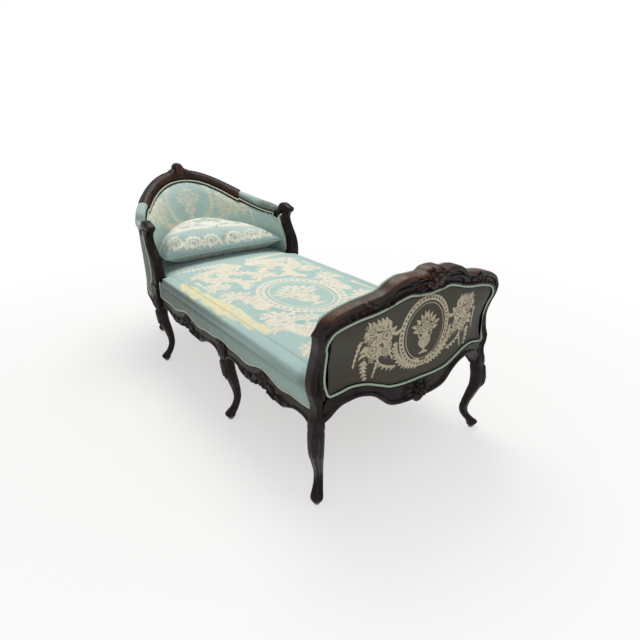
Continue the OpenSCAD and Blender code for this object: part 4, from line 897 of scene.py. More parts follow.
ROUND_LOW = [[0, 0.75], [0.06, 0.25], [0.15, 0], [0.32, 0.1], [0.5, 0.75], [0.68, 0.1], [0.85, 0],
             [0.94, 0.25], [1, 0.75]]
REAR_HALF_A = math.degrees(REAR_HALF / HEAD_DEPTH)
SIDE_A0 = REAR_A + REAR_HALF_A + SEAM_A
BACK_A0 = REAR_A - REAR_HALF_A - SEAM_A
BLOCK_A = float(head_a(HEAD_X - (HEAD_LEG_X - LEG_SIDE), 0, SHOW_Z))


def hump_z(u):
    return SHOW_Z + SHOW_RISE * 0.6 * np.sin(np.pi * np.clip(u, 0, 1)) ** 2


def round_show(a):
    a = np.abs(a)
    back = hump_z((a / BACK_A0 + 1) / 2)
    return np.where(a < BACK_A0, back, hump_z((a - SIDE_A0) / (BLOCK_A - SIDE_A0)))


def round_rail(a0, a1, meets_leg):
    rings = []
    for u in np.linspace(0, 1, 200):
        low = RAIL_LOW - LOBE_DROP * curve(ROUND_LOW, u)
        z, depth = rail_section(26, hump_z(u), low)
        rim = z - low
        lift = 2.6 * ridge(rim, 7, 6) - 2.2 * step(rim, 12, 17)
        mid = np.hypot((u - 0.5) * (a1 - a0) * 8, z - 318)
        ribs = 0.75 + 0.25 * np.cos(np.arctan2(z - 318, u - 0.5) * 9)
        lift = lift + relief(26 - mid, 7, 10) * ribs
        depth_cut = depth - lift * face_only(depth, RAIL_T / 2)
        end = head_a(HEAD_X - (HEAD_LEG_X - LEG_SIDE), depth, SHOW_Z) if meets_leg else a1
        rings.append(head_pt(a0 + (end - a0) * u, depth_cut, z))
    return rings


for word, side in SIDES:
    carved("head_rail_" + word, round_rail(SIDE_A0, BLOCK_A, True), side)
carved("head_rail_back", round_rail(-BACK_A0, BACK_A0, False))

# The rear legs: splayed feet under the head end, each one piece with the post that leans back
# inside the cover up to the crest rail.
REAR_LEG = [[0, 0.9, 0.1], [0.05, 0.95, 0.3], [0.12, 0.6, 0.2], [0.28, 0, 0], [0.5, -0.25, 0.2],
            [0.75, -0.1, 0.6], [0.95, 0, 0.9], [1, 0, 1]]


def rear_post():
    w = np.linspace(0, 2 * np.pi, 48, endpoint=False)
    c, s = np.cos(w), np.sin(w)
    rings = []

    def add(half_a, t0, t1, z, power):
        reach = (np.abs(c) ** power + np.abs(s) ** power) ** (-1 / power)
        t = (t0 + t1) / 2 + (t1 - t0) / 2 * reach * s
        rings.append(head_pt(REAR_A + half_a * reach * c, t, z))

    for share in np.linspace(0, 1, 60):
        swing, thick = (curve_of(REAR_LEG, k, share) for k in (1, 2))
        middle, half = RAIL_T / 2 - LEG_SWING * swing, ANKLE + (RAIL_T / 2 - ANKLE) * thick
        half_a = REAR_HALF_A * (ANKLE + (REAR_HALF - ANKLE) * thick) / REAR_HALF
        add(half_a, middle - half, middle + half, GLIDE_H + share * (LEG_H - GLIDE_H), 3)
    for z in np.linspace(LEG_H + 1, SHOW_Z, 8):
        add(REAR_HALF_A, 0, RAIL_T, z, 9)
    for z in (SHOW_Z + GAP, RAIL_TOP):
        add(REAR_HALF_A, REBATE, RAIL_T, z, 9)
    for z in np.linspace(RAIL_TOP + 0.6, float(top_z(REAR_A)) - 48.4, 12):
        add(REAR_HALF_A, REBATE, 30, z, 9)
    return rings


for word, side in SIDES:
    carved("rear_post_" + word, rear_post(), side)

# The arm supports: swaying front posts of the arms, tenoned on the head legs. A flute runs down
# their outer face and a thin bead down each edge.
SUPPORT = [[0, 0, 1, 1], [0.1, 0.25, 0.9, 1], [0.2, 0.33, 0.83, 0.99], [0.3, 0.33, 0.78, 0.97],
           [0.4, 0.22, 0.74, 0.95], [0.5, 0.02, 0.7, 0.91], [0.6, -0.3, 0.65, 0.87],
           [0.7, -0.64, 0.6, 0.82], [0.8, -0.9, 0.57, 0.77], [0.88, -1, 0.57, 0.77],
           [0.95, -0.86, 0.64, 0.8], [1, -0.6, 0.74, 0.84]]
SUPPORT_Z, SUPPORT_HALF_T, ARM_SWAY = 658, 24, 47
SUPPORT_MID = (HEAD_IN + HEAD_OUT) / 2
ARM_IN_T = 42


def support_of(z, column):
    u = np.clip((z - RAIL_TOP) / (SUPPORT_Z - RAIL_TOP), 0, 1)
    return curve_of(SUPPORT, column, u)


def support_x(z):
    return HEAD_LEG_X + ARM_SWAY * support_of(z, 1)


def support_half(z):
    return LEG_SIDE * support_of(z, 2)


def arm_support():
    rings = []
    for z in np.linspace(RAIL_TOP, SUPPORT_Z, 110):
        u = (z - RAIL_TOP) / (SUPPORT_Z - RAIL_TOP)
        mid = SUPPORT_MID + (ARM_SIDE - ARM_IN_T / 2 - SUPPORT_MID) * u
        x, half = float(support_x(z)), float(support_half(z))
        thick = SUPPORT_HALF_T * float(support_of(z, 3))
        flat, w = ring_of((x, mid), (half, thick), 5, 96)
        out = flat - (x, mid)
        away = np.hypot(*out.T)[:, None]
        flank = np.abs(out[:, 0]) / half
        lift = 1.6 * ridge(flank, 0.8, 0.16) - 2.6 * np.exp(-((flank - 0.35) / 0.22) ** 2)
        lift = np.where(np.abs(np.sin(w)) > 0.55, lift, 0)
        front = np.abs(out[:, 1]) / thick
        lift += np.where((np.cos(w) > 0.6) & (front < 0.85), 1.8 * ridge(front, 0, 0.35) - 1, 0)
        rings.append(upright(flat + out / away * lift[:, None], z))
    return rings


for word, side in SIDES:
    carved("arm_support_" + word, arm_support(), side)

# The arm rails: a slim rail under each arm pad that swells in front of it into a scroll, rolls
# over and sits on the arm support.
SCROLL = [[0, 0.19, 0.81, 0, 0], [0.16, 0.08, 0.92, 0.16, 0.26], [0.35, 0, 1, 0.5, 0.86],
          [0.54, 0, 1.02, 1.01, 1], [0.77, 0, 1.04, 1.01, 0.93], [1, 0.02, 1.02, 1.05, 0.7]]
NOSE = [[0.04, 0.05], [0.1, 0.1], [0.18, 0.17], [0.25, 0.26]]
NOSE_L = 20
ARM_PAD_H, ARM_RAIL_H = 36, 22
ARM_BASE = ARM_Z - ARM_PAD_H - ARM_RAIL_H
SCROLL_Z = 700


def arm_section(t0, t1, z0, z1):
    return ring_of(((t0 + t1) / 2, (z0 + z1) / 2), ((t1 - t0) / 2, (z1 - z0) / 2), 3.4, 48)


def scroll_high(share):
    return ARM_BASE + ARM_RAIL_H + (SCROLL_Z - ARM_BASE - ARM_RAIL_H) * share


def arm_rail():
    rings = []
    for a in np.linspace(CREST_A + SEAM_A, ARM_PAD_A, 50):
        z = top_z(a) - ARM_PAD_H
        flat, _ = arm_section(REBATE + GAP, RAIL_T - GAP, z - ARM_RAIL_H, z)
        rings.append(head_pt(a, flat[:, 0], flat[:, 1]))
    for u in np.linspace(0, 1, 60)[1:]:
        t0, t1, z0, z1 = (curve_of(SCROLL, k, u) for k in (1, 2, 3, 4))
        low = ARM_BASE + (SUPPORT_Z - ARM_BASE) * z0
        high = scroll_high(z1)
        flat, w = arm_section(t0 * ARM_IN_T, t1 * ARM_IN_T, low, high)
        rise = (flat[:, 1] - low) / (high - low)
        side_face = np.abs(np.cos(w)) > 0.6
        curl = np.hypot((u - 0.72) * 62, (rise - 0.5) * (high - low))
        lift = np.where(side_face, 1.8 * np.cos(curl * 0.55 + np.arctan2(rise - 0.5, u - 0.72)), 0)
        lift *= step(u, 0.3, 0.5)
        rings.append(head_pt(ARM_PAD_A + (ARM_A - ARM_PAD_A) * u,
                             flat[:, 0] + np.sign(np.cos(w)) * lift * 0.6, flat[:, 1]))
    high = scroll_high(SCROLL[-1][4])
    for push, inset in NOSE:
        flat, _ = arm_section(inset * ARM_IN_T, (1 - inset) * ARM_IN_T,
                              SUPPORT_Z + inset * ARM_IN_T, high - inset * ARM_IN_T / 2)
        rings.append(head_pt(ARM_A, flat[:, 0], flat[:, 1]) + [push * NOSE_L, 0, 0])
    return rings


for word, side in SIDES:
    carved("arm_rail_" + word, arm_rail(), side)

# The crest rail of the back: one bowed piece of walnut over the rear posts, with a round top edge,
# a groove along its face and a carved flower in the middle.
CREST_H = 48
CREST_T = 42
BACK_FLOWER_UP = 38
BACK_FLOWER = [[0, 1], [0.035, 0.93], [0.062, 0.66], [0.078, 0.36], [0.1, 0.24], [0.14, 0.1],
               [0.18, 0], [1, 0]]
INNER_T = CREST_T - REBATE / 2 + GAP


def back_crest():
    rings = []
    for u in np.linspace(-1, 1, 420):
        a = CREST_A * u
        bloom = curve(BACK_FLOWER, abs(u))
        high, low = top_z(a) + BACK_FLOWER_UP * bloom, top_z(a) - CREST_H
        t0, t1 = -4 * (1 + bloom), CREST_T - 4
        section = rounded(20, 12, 5, high - low, t1 - t0)
        drop, depth = section[:, 1], section[:, 0]
        z = high - drop
        t = t0 + depth
        inner = step(depth / (t1 - t0), 0.6, 0.9)
        outer = 1 - step(depth / (t1 - t0), 0.1, 0.4)
        under_top = top_z(a) - z
        t = t - inner * 12 * (1 - step(under_top, -2, 16)) * (1 - bloom)
        groove = 2.6 * ridge(under_top, 12, 4) - 2.4 * ridge(under_top, 22, 6)
        groove = groove + 2 * ridge(under_top, 36, 8)
        t = t + inner * groove * 1.2 - outer * groove
        along = u * math.radians(CREST_A) * 560
        petals = np.column_stack([np.full(len(z), along), z])
        middle = (0, CREST_Z + 6)
        spread = flower(petals, middle, 33, 6, 90, 0.3)
        bloom_h = relief(spread, 8, 9) + relief(flower(petals, middle, 18, 5, 20, 0.3), 5, 5)
        bloom_h += relief(disc(petals, middle, 7), 4, 4)
        for s in (-1, 1):
            bloom_h += relief(leaf(petals, (s * 22, CREST_Z - 8), (s * 76, CREST_Z - 14), 11,
                                   s * 0.1), 6, 6)
            bloom_h += relief(leaf(petals, (s * 26, CREST_Z - 20), (s * 60, CREST_Z - 34), 9,
                                   s * -0.1), 5, 5)
        t = t + inner * bloom_h - outer * bloom_h * 0.8
        rings.append(head_pt(a, t, z))
    return rings


carved("back_crest_rail", back_crest(), rubbed=0.12)

# The carcass that the cover hides: two cross rails and six corner blocks of plain wood with steel
# screws, glides under the feet, jute webbing nailed over the rails and hessian on it. These keep
# the frame's own shapes.


def plain_wood():
    wood = Finish("plain_wood")
    grain = wood.noise(30, 5, (0.5, 4, 4))
    base = wood.blend(wood.band(grain, 0.35, 0.7), colour("#8a6a48"), colour("#a98760"))
    return wood.done(Base_Color=base, Roughness=0.75, Normal=wood.bump(grain, 0.0006, 0.4))


def woven(name, light, dark, pitch, patches):
    """Coarse jute, whose threads cross at right angles."""
    jute = Finish(name)
    place_of = jute.node("ShaderNodeSeparateXYZ", _0=jute.spot)
    turns = 2 * math.pi / pitch
    warp, weft = (jute.math("SINE", jute.math("MULTIPLY", place_of.outputs[k], turns))
                  for k in (0, 1))
    thread = jute.math("MULTIPLY", warp, weft)
    slub = jute.noise(120, 2)
    base = jute.blend(jute.band(jute.math("ADD", thread, slub), 0, 1.2), colour(dark),
                      colour(light))
    base = jute.blend(jute.band(jute.noise(patches), 0.4, 0.7, 0, 0.4), base, colour(dark))
    return jute.done(Base_Color=base, Roughness=0.95, Normal=jute.bump(thread, pitch / 8, 0.6))


def bright_steel():
    steel = Finish("steel")
    scratch = steel.noise(90, 4)
    base = steel.blend(scratch, colour("#6e6c68"), colour("#96938c"))
    return steel.done(Base_Color=base, Metallic=1.0,
                      Roughness=steel.band(scratch, 0.3, 0.7, 0.3, 0.5),
                      Normal=steel.bump(scratch, 0.0002, 0.3))


KEPT = {
    "cross_rail_mid": plain_wood(),
    "webbing_long": woven("jute_webbing", "#a58a5e", "#6d5636", 0.0034, 12),
    "seat_hessian": woven("hessian", "#b39c73", "#7d6844", 0.0026, 9),
    "foot_glides": bright_steel(),
}
KEPT["cross_rail_head"] = KEPT["corner_blocks"] = KEPT["cross_rail_mid"]
KEPT["webbing_cross"] = KEPT["webbing_long"]
KEPT["block_screws"] = KEPT["foot_glides"]
for name, material in KEPT.items():
    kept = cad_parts[name]
    kept.data.materials.clear()
    kept.data.materials.append(material)

# The outside panel of the footboard: a dark olive figured cotton, stretched over the open frame
# and tacked behind the piping. A beaded oval round an urn of flowers is printed in the middle,
# with roses and leaf scrolls on both sides.
THREAD = 1.4


def figured_cloth(name, ground, shade, figure, ink, shade_and_soil, sheen=0.25):
    """A printed cotton. The mesh carries the threads' places, its depth inside the figure and how
    much painted shade and soiling darken it, all in millimetres or shares."""
    cloth = Finish(name)
    turns = 2 * math.pi / THREAD
    warp, weft = (cloth.math("SINE", cloth.math("MULTIPLY", cloth.mark(m), turns))
                  for m in ("warp", "weft"))
    thread = cloth.math("MULTIPLY", warp, weft)
    slub = cloth.noise(60, 4)
    patch = cloth.noise(5, 4)
    fray = cloth.noise(420, 2)
    base = cloth.blend(cloth.band(patch, 0.3, 0.7), colour(ground), colour(shade))
    depth = cloth.math("ADD", cloth.mark("figure"),
                       cloth.math("MULTIPLY", cloth.math("SUBTRACT", fray, 0.5), 1.6))
    print_on = cloth.band(depth, -0.35, 0.45)
    wash = cloth.blend(cloth.band(slub, 0.35, 0.65), colour(figure), colour(ink))
    line = cloth.math("SUBTRACT", 1.0, cloth.band(
        cloth.math("ABSOLUTE", cloth.math("SUBTRACT", depth, 2.6)), 0.25, 0.75))
    tone = cloth.blend(cloth.math("MULTIPLY", line, cloth.band(slub, 0.4, 0.6, 0.15, 0.6)),
                       colour(figure), colour(ink))
    tone = cloth.blend(0.28, tone, wash)
    base = cloth.blend(print_on, base, tone)
    base = cloth.blend(cloth.mark("faded"), base, cloth.blend(
        cloth.band(cloth.noise(48, 5), 0.42, 0.6), colour("#f0e2a8"), colour("#d9dcc4")))
    # Painted shade: the cloth darkens towards its darkest colour where shade falls, on flanks, in
    # recesses and under things, along with some soiling.
    base = cloth.blend(cloth.math("MULTIPLY", cloth.mark("shade_and_soil"),
                                  cloth.band(slub, 0.2, 0.8, 0.75, 1)),
                       base, colour(shade_and_soil))
    base = cloth.blend(cloth.band(thread, -0.6, 0.9, 0.1, 0), base, (0.02, 0.02, 0.02, 1))
    rough = cloth.band(print_on, 0, 1, 0.78, 0.7)
    fold = cloth.bump(slub, 0.0012, 0.25)
    raised = cloth.bump(print_on, 0.0004, 0.35, fold)
    return cloth.done(Base_Color=base, Roughness=rough, Sheen_Weight=sheen, Sheen_Roughness=0.5,
                      Normal=cloth.bump(thread, 0.00016, 0.35, raised))


OLIVE = figured_cloth("dark_print", "#43423a", "#3e382b", "#c6bba0", "#8f8770", "#26251e", 0.05)
AQUA_PRINT = figured_cloth("pale_print", "#a3c2bd", "#afcac4", "#e9e4d0", "#bdb897", "#47524c")
# The pillow's cloth is a lighter copy of the seat's print: painted light on the pillow.
LIGHTENED_PILLOW_PRINT = figured_cloth("pillow_print", "#afc6c2", "#a2bab6", "#ebe7d6", "#bdb897", "#47524c")
BACK_PRINT = figured_cloth("back_print", "#9ebab4", "#a9c3bc", "#cfd1be", "#b2b39b", "#47524c")
AQUA = figured_cloth("pale_cloth", "#93b0aa", "#a0b9b2", "#e6e1cc", "#bdb897", "#47524c")
# The outside cloth's ground is darkened as painted shade for the outer faces of the head end.
SHADED_OUTSIDE = figured_cloth("outside_cloth", "#6b746c", "#78827a", "#d8d4c0", "#a8a48c", "#454c46", 0.1)
PALE_CORD = figured_cloth("pale_piping", "#c6c9b6", "#b3b8a6", "#ece7d4", "#c4bfa4", "#8e9183",
                          0.15)
CLOTH_CORD = figured_cloth("cloth_piping", "#98afa9", "#8ea59f", "#ece7d4", "#c4bfa4", "#5d6963",
                           0.15)
SAGE_CORD = figured_cloth("sage_piping", "#9fb5a0", "#aec1ad", "#ece7d4", "#c4bfa4", "#7f927f",
                          0.15)


def threads(piece, warp, weft, figure=None, shade_and_soil=None, faded=None):
    """Gives a cloth its threads' places, its print, its painted shade with soiling and its faded
    patches.
    """
    none = np.zeros(len(piece.data.vertices))
    mark(piece, "warp", warp)
    mark(piece, "weft", weft)
    mark(piece, "figure", none - 9 if figure is None else figure)
    mark(piece, "shade_and_soil", none if shade_and_soil is None else shade_and_soil)
    mark(piece, "faded", none if faded is None else faded)


def in_mm(piece):
    """Places of a piece's points, in millimetres from the foot legs' line."""
    return spots(piece) / MM - [MID_X, 0, 0]


def cover(name, rings, material, nodes, closed=False):
    """A piece of cloth or piping, made through rings of points, that replaces plain solids."""
    points, faces = skin(np.asarray(rings, float), closed)
    piece = new_piece(name, place(points), faces, material)
    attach(piece, "couch")
    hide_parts(*nodes)
    return piece


class Print:
    """A figure printed on cloth, as each point's depth inside it. The two halves match."""

    def __init__(self, across, along):
        self.p = np.column_stack([np.abs(across), along])
        self.depth = np.full(len(self.p), -9.0)

    def put(self, places, reach, shape):
        places = np.asarray(places, float).reshape(-1, 2)
        low, high = places.min(0) - reach, places.max(0) + reach
        near = np.flatnonzero(((self.p > low) & (self.p < high)).all(1))
        if len(near):
            self.depth[near] = shape(self.p[near], self.depth[near])

    def leaf(self, a, b, half, bend=0.0):
        self.put([a, b], half * 1.5, lambda q, d: np.maximum(d, leaf(q, a, b, half, bend)))

    def stem(self, line, start, end):
        self.put(line, start + 2, lambda q, d: np.maximum(d, stalk(q, line, start, end)))

    def dot(self, c, r):
        self.put([c], r + 2, lambda q, d: np.maximum(d, disc(q, c, r)))

    def hole(self, c, r):
        self.put([c], r + 2, lambda q, d: np.minimum(d, -disc(q, c, r)))

    def sprig(self, line, leaves, length, half, spread=46):
        """A printed stem with pairs of leaves."""
        line = np.asarray(line, float)
        self.stem(line, half * 0.24, half * 0.14)
        for spot, tip, size, side in leaf_pairs(line, leaves, length, 0.5, 0.5, spread):
            self.leaf(spot, tip, half * size, -side * 0.14)
        self.leaf(line[-2], line[-1] + (line[-1] - line[-2]) * 1.6, half * 0.5)

    def bloom(self, c, r, petals=7, turn=8):
        """A rose: an outer and an inner round of petals, with a line between them."""
        self.put([c], r + 2, lambda q, d: np.maximum(d, flower(q, c, r, petals, turn, 0.3)))
        self.put([c], r + 2, lambda q, d: np.minimum(
            d, np.abs(flower(q, c, r * 0.6, 5, turn + 30, 0.28)) - 1.3))
        self.hole(c, r * 0.2)
        self.dot(c, r * 0.1)

    def posy(self, c, r, leaves=7, turn=0):
        """A rose with a bud or two beside it, among leaves that curl away from it."""
        for k in range(leaves):
            w = math.radians(turn + 360 * (k + 0.2 * (k % 3)) / leaves)
            ahead = np.array([math.cos(w), math.sin(w)])
            aside = np.array([-ahead[1], ahead[0]]) * r * (0.45 if k % 2 else -0.35)
            reach = r * (1.55, 2.1, 1.8)[k % 3]
            self.leaf(np.array(c) + ahead * r * 0.7, np.array(c) + ahead * reach + aside, r * 0.27,
                      0.22)
        for k in (0, 1):
            w = math.radians(turn + 200 * k + 40)
            self.bloom(np.array(c) + 1.35 * r * np.array([math.cos(w), math.sin(w)]), r * 0.42, 5,
                       turn)
        self.bloom(c, r, 7, turn + 8)

    def ring(self, c, half, wide, beads=0):
        """An oval band with a row of beads cut out of it."""
        c, half = np.array(c, float), np.array(half, float)

        def band(q, d):
            share = np.hypot(*((q - c) / half).T)
            lean = np.hypot(*((q - c) / half ** 2).T) / np.maximum(share, 1e-6)
            return np.maximum(d, wide / 2 - np.abs(share - 1) / np.maximum(lean, 1e-6))

        self.put([c - half, c + half], wide, band)
        for k in range(beads):
            w = 2 * math.pi * (k + 0.5) / beads
            spot = c + half * [math.sin(w), math.cos(w)]
            if spot[0] > -1:
                self.hole(spot, wide * 0.2)

    def scroll(self, start, turns, wide, length, buds=True):
        """A tapering scroll with leaves along its back and a rose at its eye."""
        line = np.array(arc(start, turns))
        self.stem(line, wide, wide * 0.4)
        count = max(5, len(line) // 2)
        for k in range(count):
            i = int((k + 0.5) / count * (len(line) - 1.01))
            heading = math.atan2(*(line[i + 1] - line[i])[::-1])
            bend = 1 if sum(t for _, t in turns) > 0 else -1
            turn = heading - bend * math.radians(48)
            size = length * (1 - 0.4 * k / count)
            tip = line[i] + size * np.array([math.cos(turn), math.sin(turn)])
            self.leaf(line[i], tip, size * 0.2, bend * 0.2)
        if buds:
            self.bloom(line[-1], length * 0.5, 6)

    def urn(self, c, s):
        """A footed urn with two handles and a bunch of flowers, s times about 130 mm tall."""
        c = np.array(c, float)
        width = [[-50, 18], [-46, 17], [-40, 5], [-34, 5], [-28, 15], [-12, 25], [0, 21],
                 [8, 12], [13, 14], [16, 20], [18, 19]]

        def body(q, d):
            x, y = ((q - c) / s).T
            side = curve(width, np.clip(y, -50, 18)) - np.abs(x)
            vase = np.minimum(side, np.minimum(y + 50, 18 - y))
            flutes = np.abs(np.sin(x * 0.42)) * 3 - 0.8
            vase = np.where((y > -27) & (y < -6) & (side > 2), np.minimum(vase, flutes), vase)
            vase = np.minimum(vase, np.abs(y + 3) - 1)
            return np.maximum(d, vase * s)

        self.put([c + np.array([0, -52]) * s, c + np.array([26, 20]) * s], 4 * s, body)
        self.stem(np.array(arc((19, 2, 30), [[16, 60], [16, 80], [15, 90]])) * s + c, 2.6 * s,
                  1.6 * s)
        for ax, ay, bx, by in ((26, 20, 50, 26), (22, 44, 40, 62), (6, 58, 8, 84),
                               (34, 34, 56, 44), (14, 50, 24, 76)):
            self.leaf(np.array([ax, ay]) * s + c, np.array([bx, by]) * s + c, 5.5 * s, 0.1)
        for fx, fy, r in ((0, 36, 16), (22, 28, 12), (12, 54, 10), (33, 42, 8)):
            self.bloom(np.array([fx, fy]) * s + c, r * s, 6, 90)

    def drop(self, start, step_by, buds, r):
        """A hanging chain of buds that shrink."""
        for k in range(buds):
            size = r * (1 - 0.6 * k / buds)
            spot = np.array(start, float) + np.array(step_by) * k
            self.leaf(spot, spot + np.array(step_by) * 1.25, size)
            self.dot(spot, size * 0.55)


def foot_print(y, z):
    cloth = Print(y, z)
    cloth.sprig(arc((4, 430, 4), [[60, 8], [60, 44], [50, 34]]), 12, 30, 7.5)
    cloth.stem(arc((130, 478, 64), [[60, -6], [60, -40], [50, -50]]), 3, 2)
    cloth.scroll((118, 446, 6), [[50, 20], [46, 60], [34, 90], [24, 90]], 4.5, 22)
    cloth.sprig(arc((146, 606, 18), [[40, -16], [40, -30]]), 5, 26, 6)
    cloth.sprig(arc((230, 498, -80), [[36, -10], [36, -20]]), 5, 22, 5.5)
    for c, r, turn in (((160, 566), 28, 10), ((206, 522), 25, 30), ((214, 588), 19, 0),
                       ((160, 510), 16, 20)):
        cloth.posy(c, r, 9, turn)
    cloth.drop((252, 560), (3, -17), 5, 7)
    cloth.drop((184, 478), (4, -13), 4, 6)
    cloth.ring((0, 540), (100, 114), 19, 44)
    cloth.ring((0, 540), (82, 96), 2.6)
    cloth.urn((0, 518), 1.12)
    return cloth.depth


def outer_panel():
    end = POST_IN - 2 * (WELT + GAP)
    rings = []
    for y in np.linspace(-end, end, 400):
        low, high = panel_low(y) + WELT + 2 * GAP, panel_top(y) - WELT - 2 * GAP
        v = np.r_[np.linspace(1, 0, 140), np.linspace(0, 1, 12)]
        z = low + (high - low) * v
        front = np.arange(len(v)) < 140
        puff = 3.6 * (1 - np.abs(2 * v - 1) ** 5) * (1 - (y / end) ** 10)
        x = foot_face(y, z) - 6 + np.where(front, puff, -2.5)
        rings.append(np.column_stack([x, np.full(len(v), y), z]))
    return rings


panel_rings = outer_panel()
foot_panel = cover("foot_panel_cloth", panel_rings, OLIVE, ["foot_outer_panel"])
at = in_mm(foot_panel)
near_edge = np.minimum(at[:, 2] - panel_low(at[:, 1]), panel_top(at[:, 1]) - at[:, 2])
near_edge = np.minimum(near_edge, POST_IN - np.abs(at[:, 1]))
# Painted shade darkens the panel near its edges, under the frame and piping.
threads(foot_panel, at[:, 1], at[:, 2], foot_print(at[:, 1], at[:, 2]),
        0.75 * (1 - step(near_edge, 4, 22)))

# Piping: a cotton cord sewn into a strip of plain cloth, laid along every edge of the covers. It
# is one round tube, slightly uneven where the cloth gathers over the cord.


def piping(name, line, radius, material, closed=False, sides=12):
    """A round cord along a line, which gathers a little as it runs."""
    path = evenly(line, closed)
    before = np.roll(path, 1, 0) if closed else np.vstack([path[:1], path[:-1]])
    after = np.roll(path, -1, 0) if closed else np.vstack([path[1:], path[-1:]])
    ahead = after - before
    ahead /= np.linalg.norm(ahead, axis=1)[:, None]
    side = np.cross(ahead[0], [0.3, 0.2, 0.93])
    rings, run = [], 0.0
    places = []
    for i, spot in enumerate(path):
        side = side - ahead[i] * (side @ ahead[i])
        side /= np.linalg.norm(side)
        up = np.cross(ahead[i], side)
        run += 0 if i == 0 else np.linalg.norm(path[i] - path[i - 1])
        w = np.arange(sides) * 2 * np.pi / sides
        r = radius * (1 + 0.035 * np.sin(run / 2.3 + 3 * w) + 0.02 * np.sin(run / 7.1))
        rings.append(spot + r[:, None] * (np.cos(w)[:, None] * side + np.sin(w)[:, None] * up))
        places.append(np.column_stack([np.full(sides, run), w * radius]))
    tube = cover(name + "_cord", rings, material, [name], closed)
    flat = np.concatenate(places)
    flat = np.vstack([flat, flat[:len(tube.data.vertices) - len(flat)]])
    threads(tube, flat[:, 0], flat[:, 1])
    return tube


def evenly(points, closed, gap=3):
    """The same line with its points a set distance apart, and its corners slightly rounded."""
    points = np.asarray(points, float)
    if closed:
        points = np.vstack([points, points[:1]])
    length = np.r_[0, np.cumsum(np.linalg.norm(np.diff(points, axis=0), axis=1))]
    count = max(8, int(length[-1] / gap))
    spot = np.linspace(0, length[-1], count, endpoint=not closed)
    line = np.column_stack([np.interp(spot, length, points[:, k]) for k in range(3)])
    for _ in range(3):
        if closed:
            line = (np.roll(line, 1, 0) + 2 * line + np.roll(line, -1, 0)) / 4
        else:
            line[1:-1] = (line[:-2] + 2 * line[1:-1] + line[2:]) / 4
    return line


pad_side = POST_IN - WELT - GAP
round_panel = [(y, panel_low(y)) for y in np.linspace(-pad_side * 0.985, pad_side * 0.985, 160)]
round_panel += [(post_in(z) - WELT - GAP, z) for z in np.linspace(RAIL_TOP + 2, JOINT_Z - 6, 40)]
round_panel += [(y, panel_top(y)) for y in np.linspace(pad_side * 0.985, -pad_side * 0.985, 160)]
round_panel += [(-(post_in(z) - WELT - GAP), z) for z in np.linspace(JOINT_Z - 6, RAIL_TOP + 2, 40)]
round_panel = [(foot_face(y, z) - WELT / 2 + 0.6, y, z) for y, z in round_panel]
piping("foot_outer_welt", round_panel, WELT * 0.85, SAGE_CORD, True)

# The inside of the footboard: a stuffed pad over hessian, under plain cloth with piping over it.
# A stuffed piece starts a little slim, is blown up as by its stuffing, and stays near the space
# that it fills.
SOFT_STEPS = 20


def move_to(piece, co):
    piece.data.vertices.foreach_set("co", co.astype(np.float32).ravel())
    piece.data.update()


def stuffed(node, material, voxel, tuck, cap, hold=None, pressure=4.0, body="couch",
            carve=None):
    """A cover blown up by its stuffing. hold gives each point 0 where it is sewn down."""
    piece = bpy.data.objects.new(node + "_stuffed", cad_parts[node].data.copy())
    piece.data.materials.clear()
    bpy.context.scene.collection.objects.link(piece)
    even = piece.modifiers.new("even", "REMESH")
    even.mode = "VOXEL"
    even.voxel_size = voxel

    def settle():
        graph = bpy.context.evaluated_depsgraph_get()
        solved = bpy.data.meshes.new_from_object(piece.evaluated_get(graph))
        piece.modifiers.clear()
        old, piece.data = piece.data, solved
        bpy.data.meshes.remove(old)

    settle()
    co = spots(piece)
    start = co - outward(piece) * tuck * MM
    free = np.ones(len(co)) if hold is None else hold(co / MM - [MID_X, 0, 0])
    rest = co.copy()
    move_to(piece, start)
    fill_in = piece.modifiers.new("stuffing", "CLOTH")
    fill_in.settings.use_pressure = True
    fill_in.settings.uniform_pressure_force = pressure
    fill_in.settings.quality = 3
    fill_in.settings.mass = 0.3
    fill_in.settings.tension_stiffness = fill_in.settings.compression_stiffness = 12
    fill_in.settings.bending_stiffness = 0.6
    fill_in.settings.effector_weights.gravity = 0
    fill_in.collision_settings.use_collision = False
    fill_in.point_cache.frame_start, fill_in.point_cache.frame_end = 1, SOFT_STEPS
    for now in range(1, SOFT_STEPS + 1):
        bpy.context.scene.frame_set(now)
    settle()
    bpy.context.scene.frame_set(1)
    rest = spots(piece)
    move = rest - start
    far = np.linalg.norm(move, axis=1)
    share = np.minimum(1, cap * MM / np.maximum(far, 1e-9)) * free
    co = start * free[:, None] + co * (1 - free[:, None]) + move * share[:, None]
    move_to(piece, co)
    finer = piece.modifiers.new("finer", "SUBSURF")
    finer.levels = finer.render_levels = 1
    settle()
    if carve is not None:
        co, normal = spots(piece), outward(piece)
        move_to(piece, co + normal * carve(co / MM - [MID_X, 0, 0], normal)[:, None] * MM)
    piece.data.polygons.foreach_set("use_smooth", [True] * len(piece.data.polygons))
    piece.data.materials.clear()
    piece.data.materials.append(material)
    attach(piece, body)
    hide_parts(node)
    return piece


STRAPS_T, HESSIAN_T, COVER_T = 3.2, 1.2, 1.2
PAD_Z = RAIL_TOP + STRAPS_T + HESSIAN_T + GAP


def crest_line(y):
    return JOINT_Z + CREST_RISE * curve(CREST_TOP, np.abs(y) / CREST_END)


def inner_top(y):
    return crest_line(np.minimum(np.abs(y), CREST_IN)) - 3 * WELT


def foot_inner(y, z):
    return foot_back(y, z) - HESSIAN_T - COVER_T


def foot_pad_pulls(co, normal):
    """Soft drag lines from the tacked edges."""
    _, y, z = co.T
    down = inner_top(y) - z
    drag = 0.5 + 0.5 * np.sin(y / 13 + 2 * np.sin(y / 57))
    return -1.2 * np.exp(-down / 30) * drag * (normal[:, 0] < -0.2)


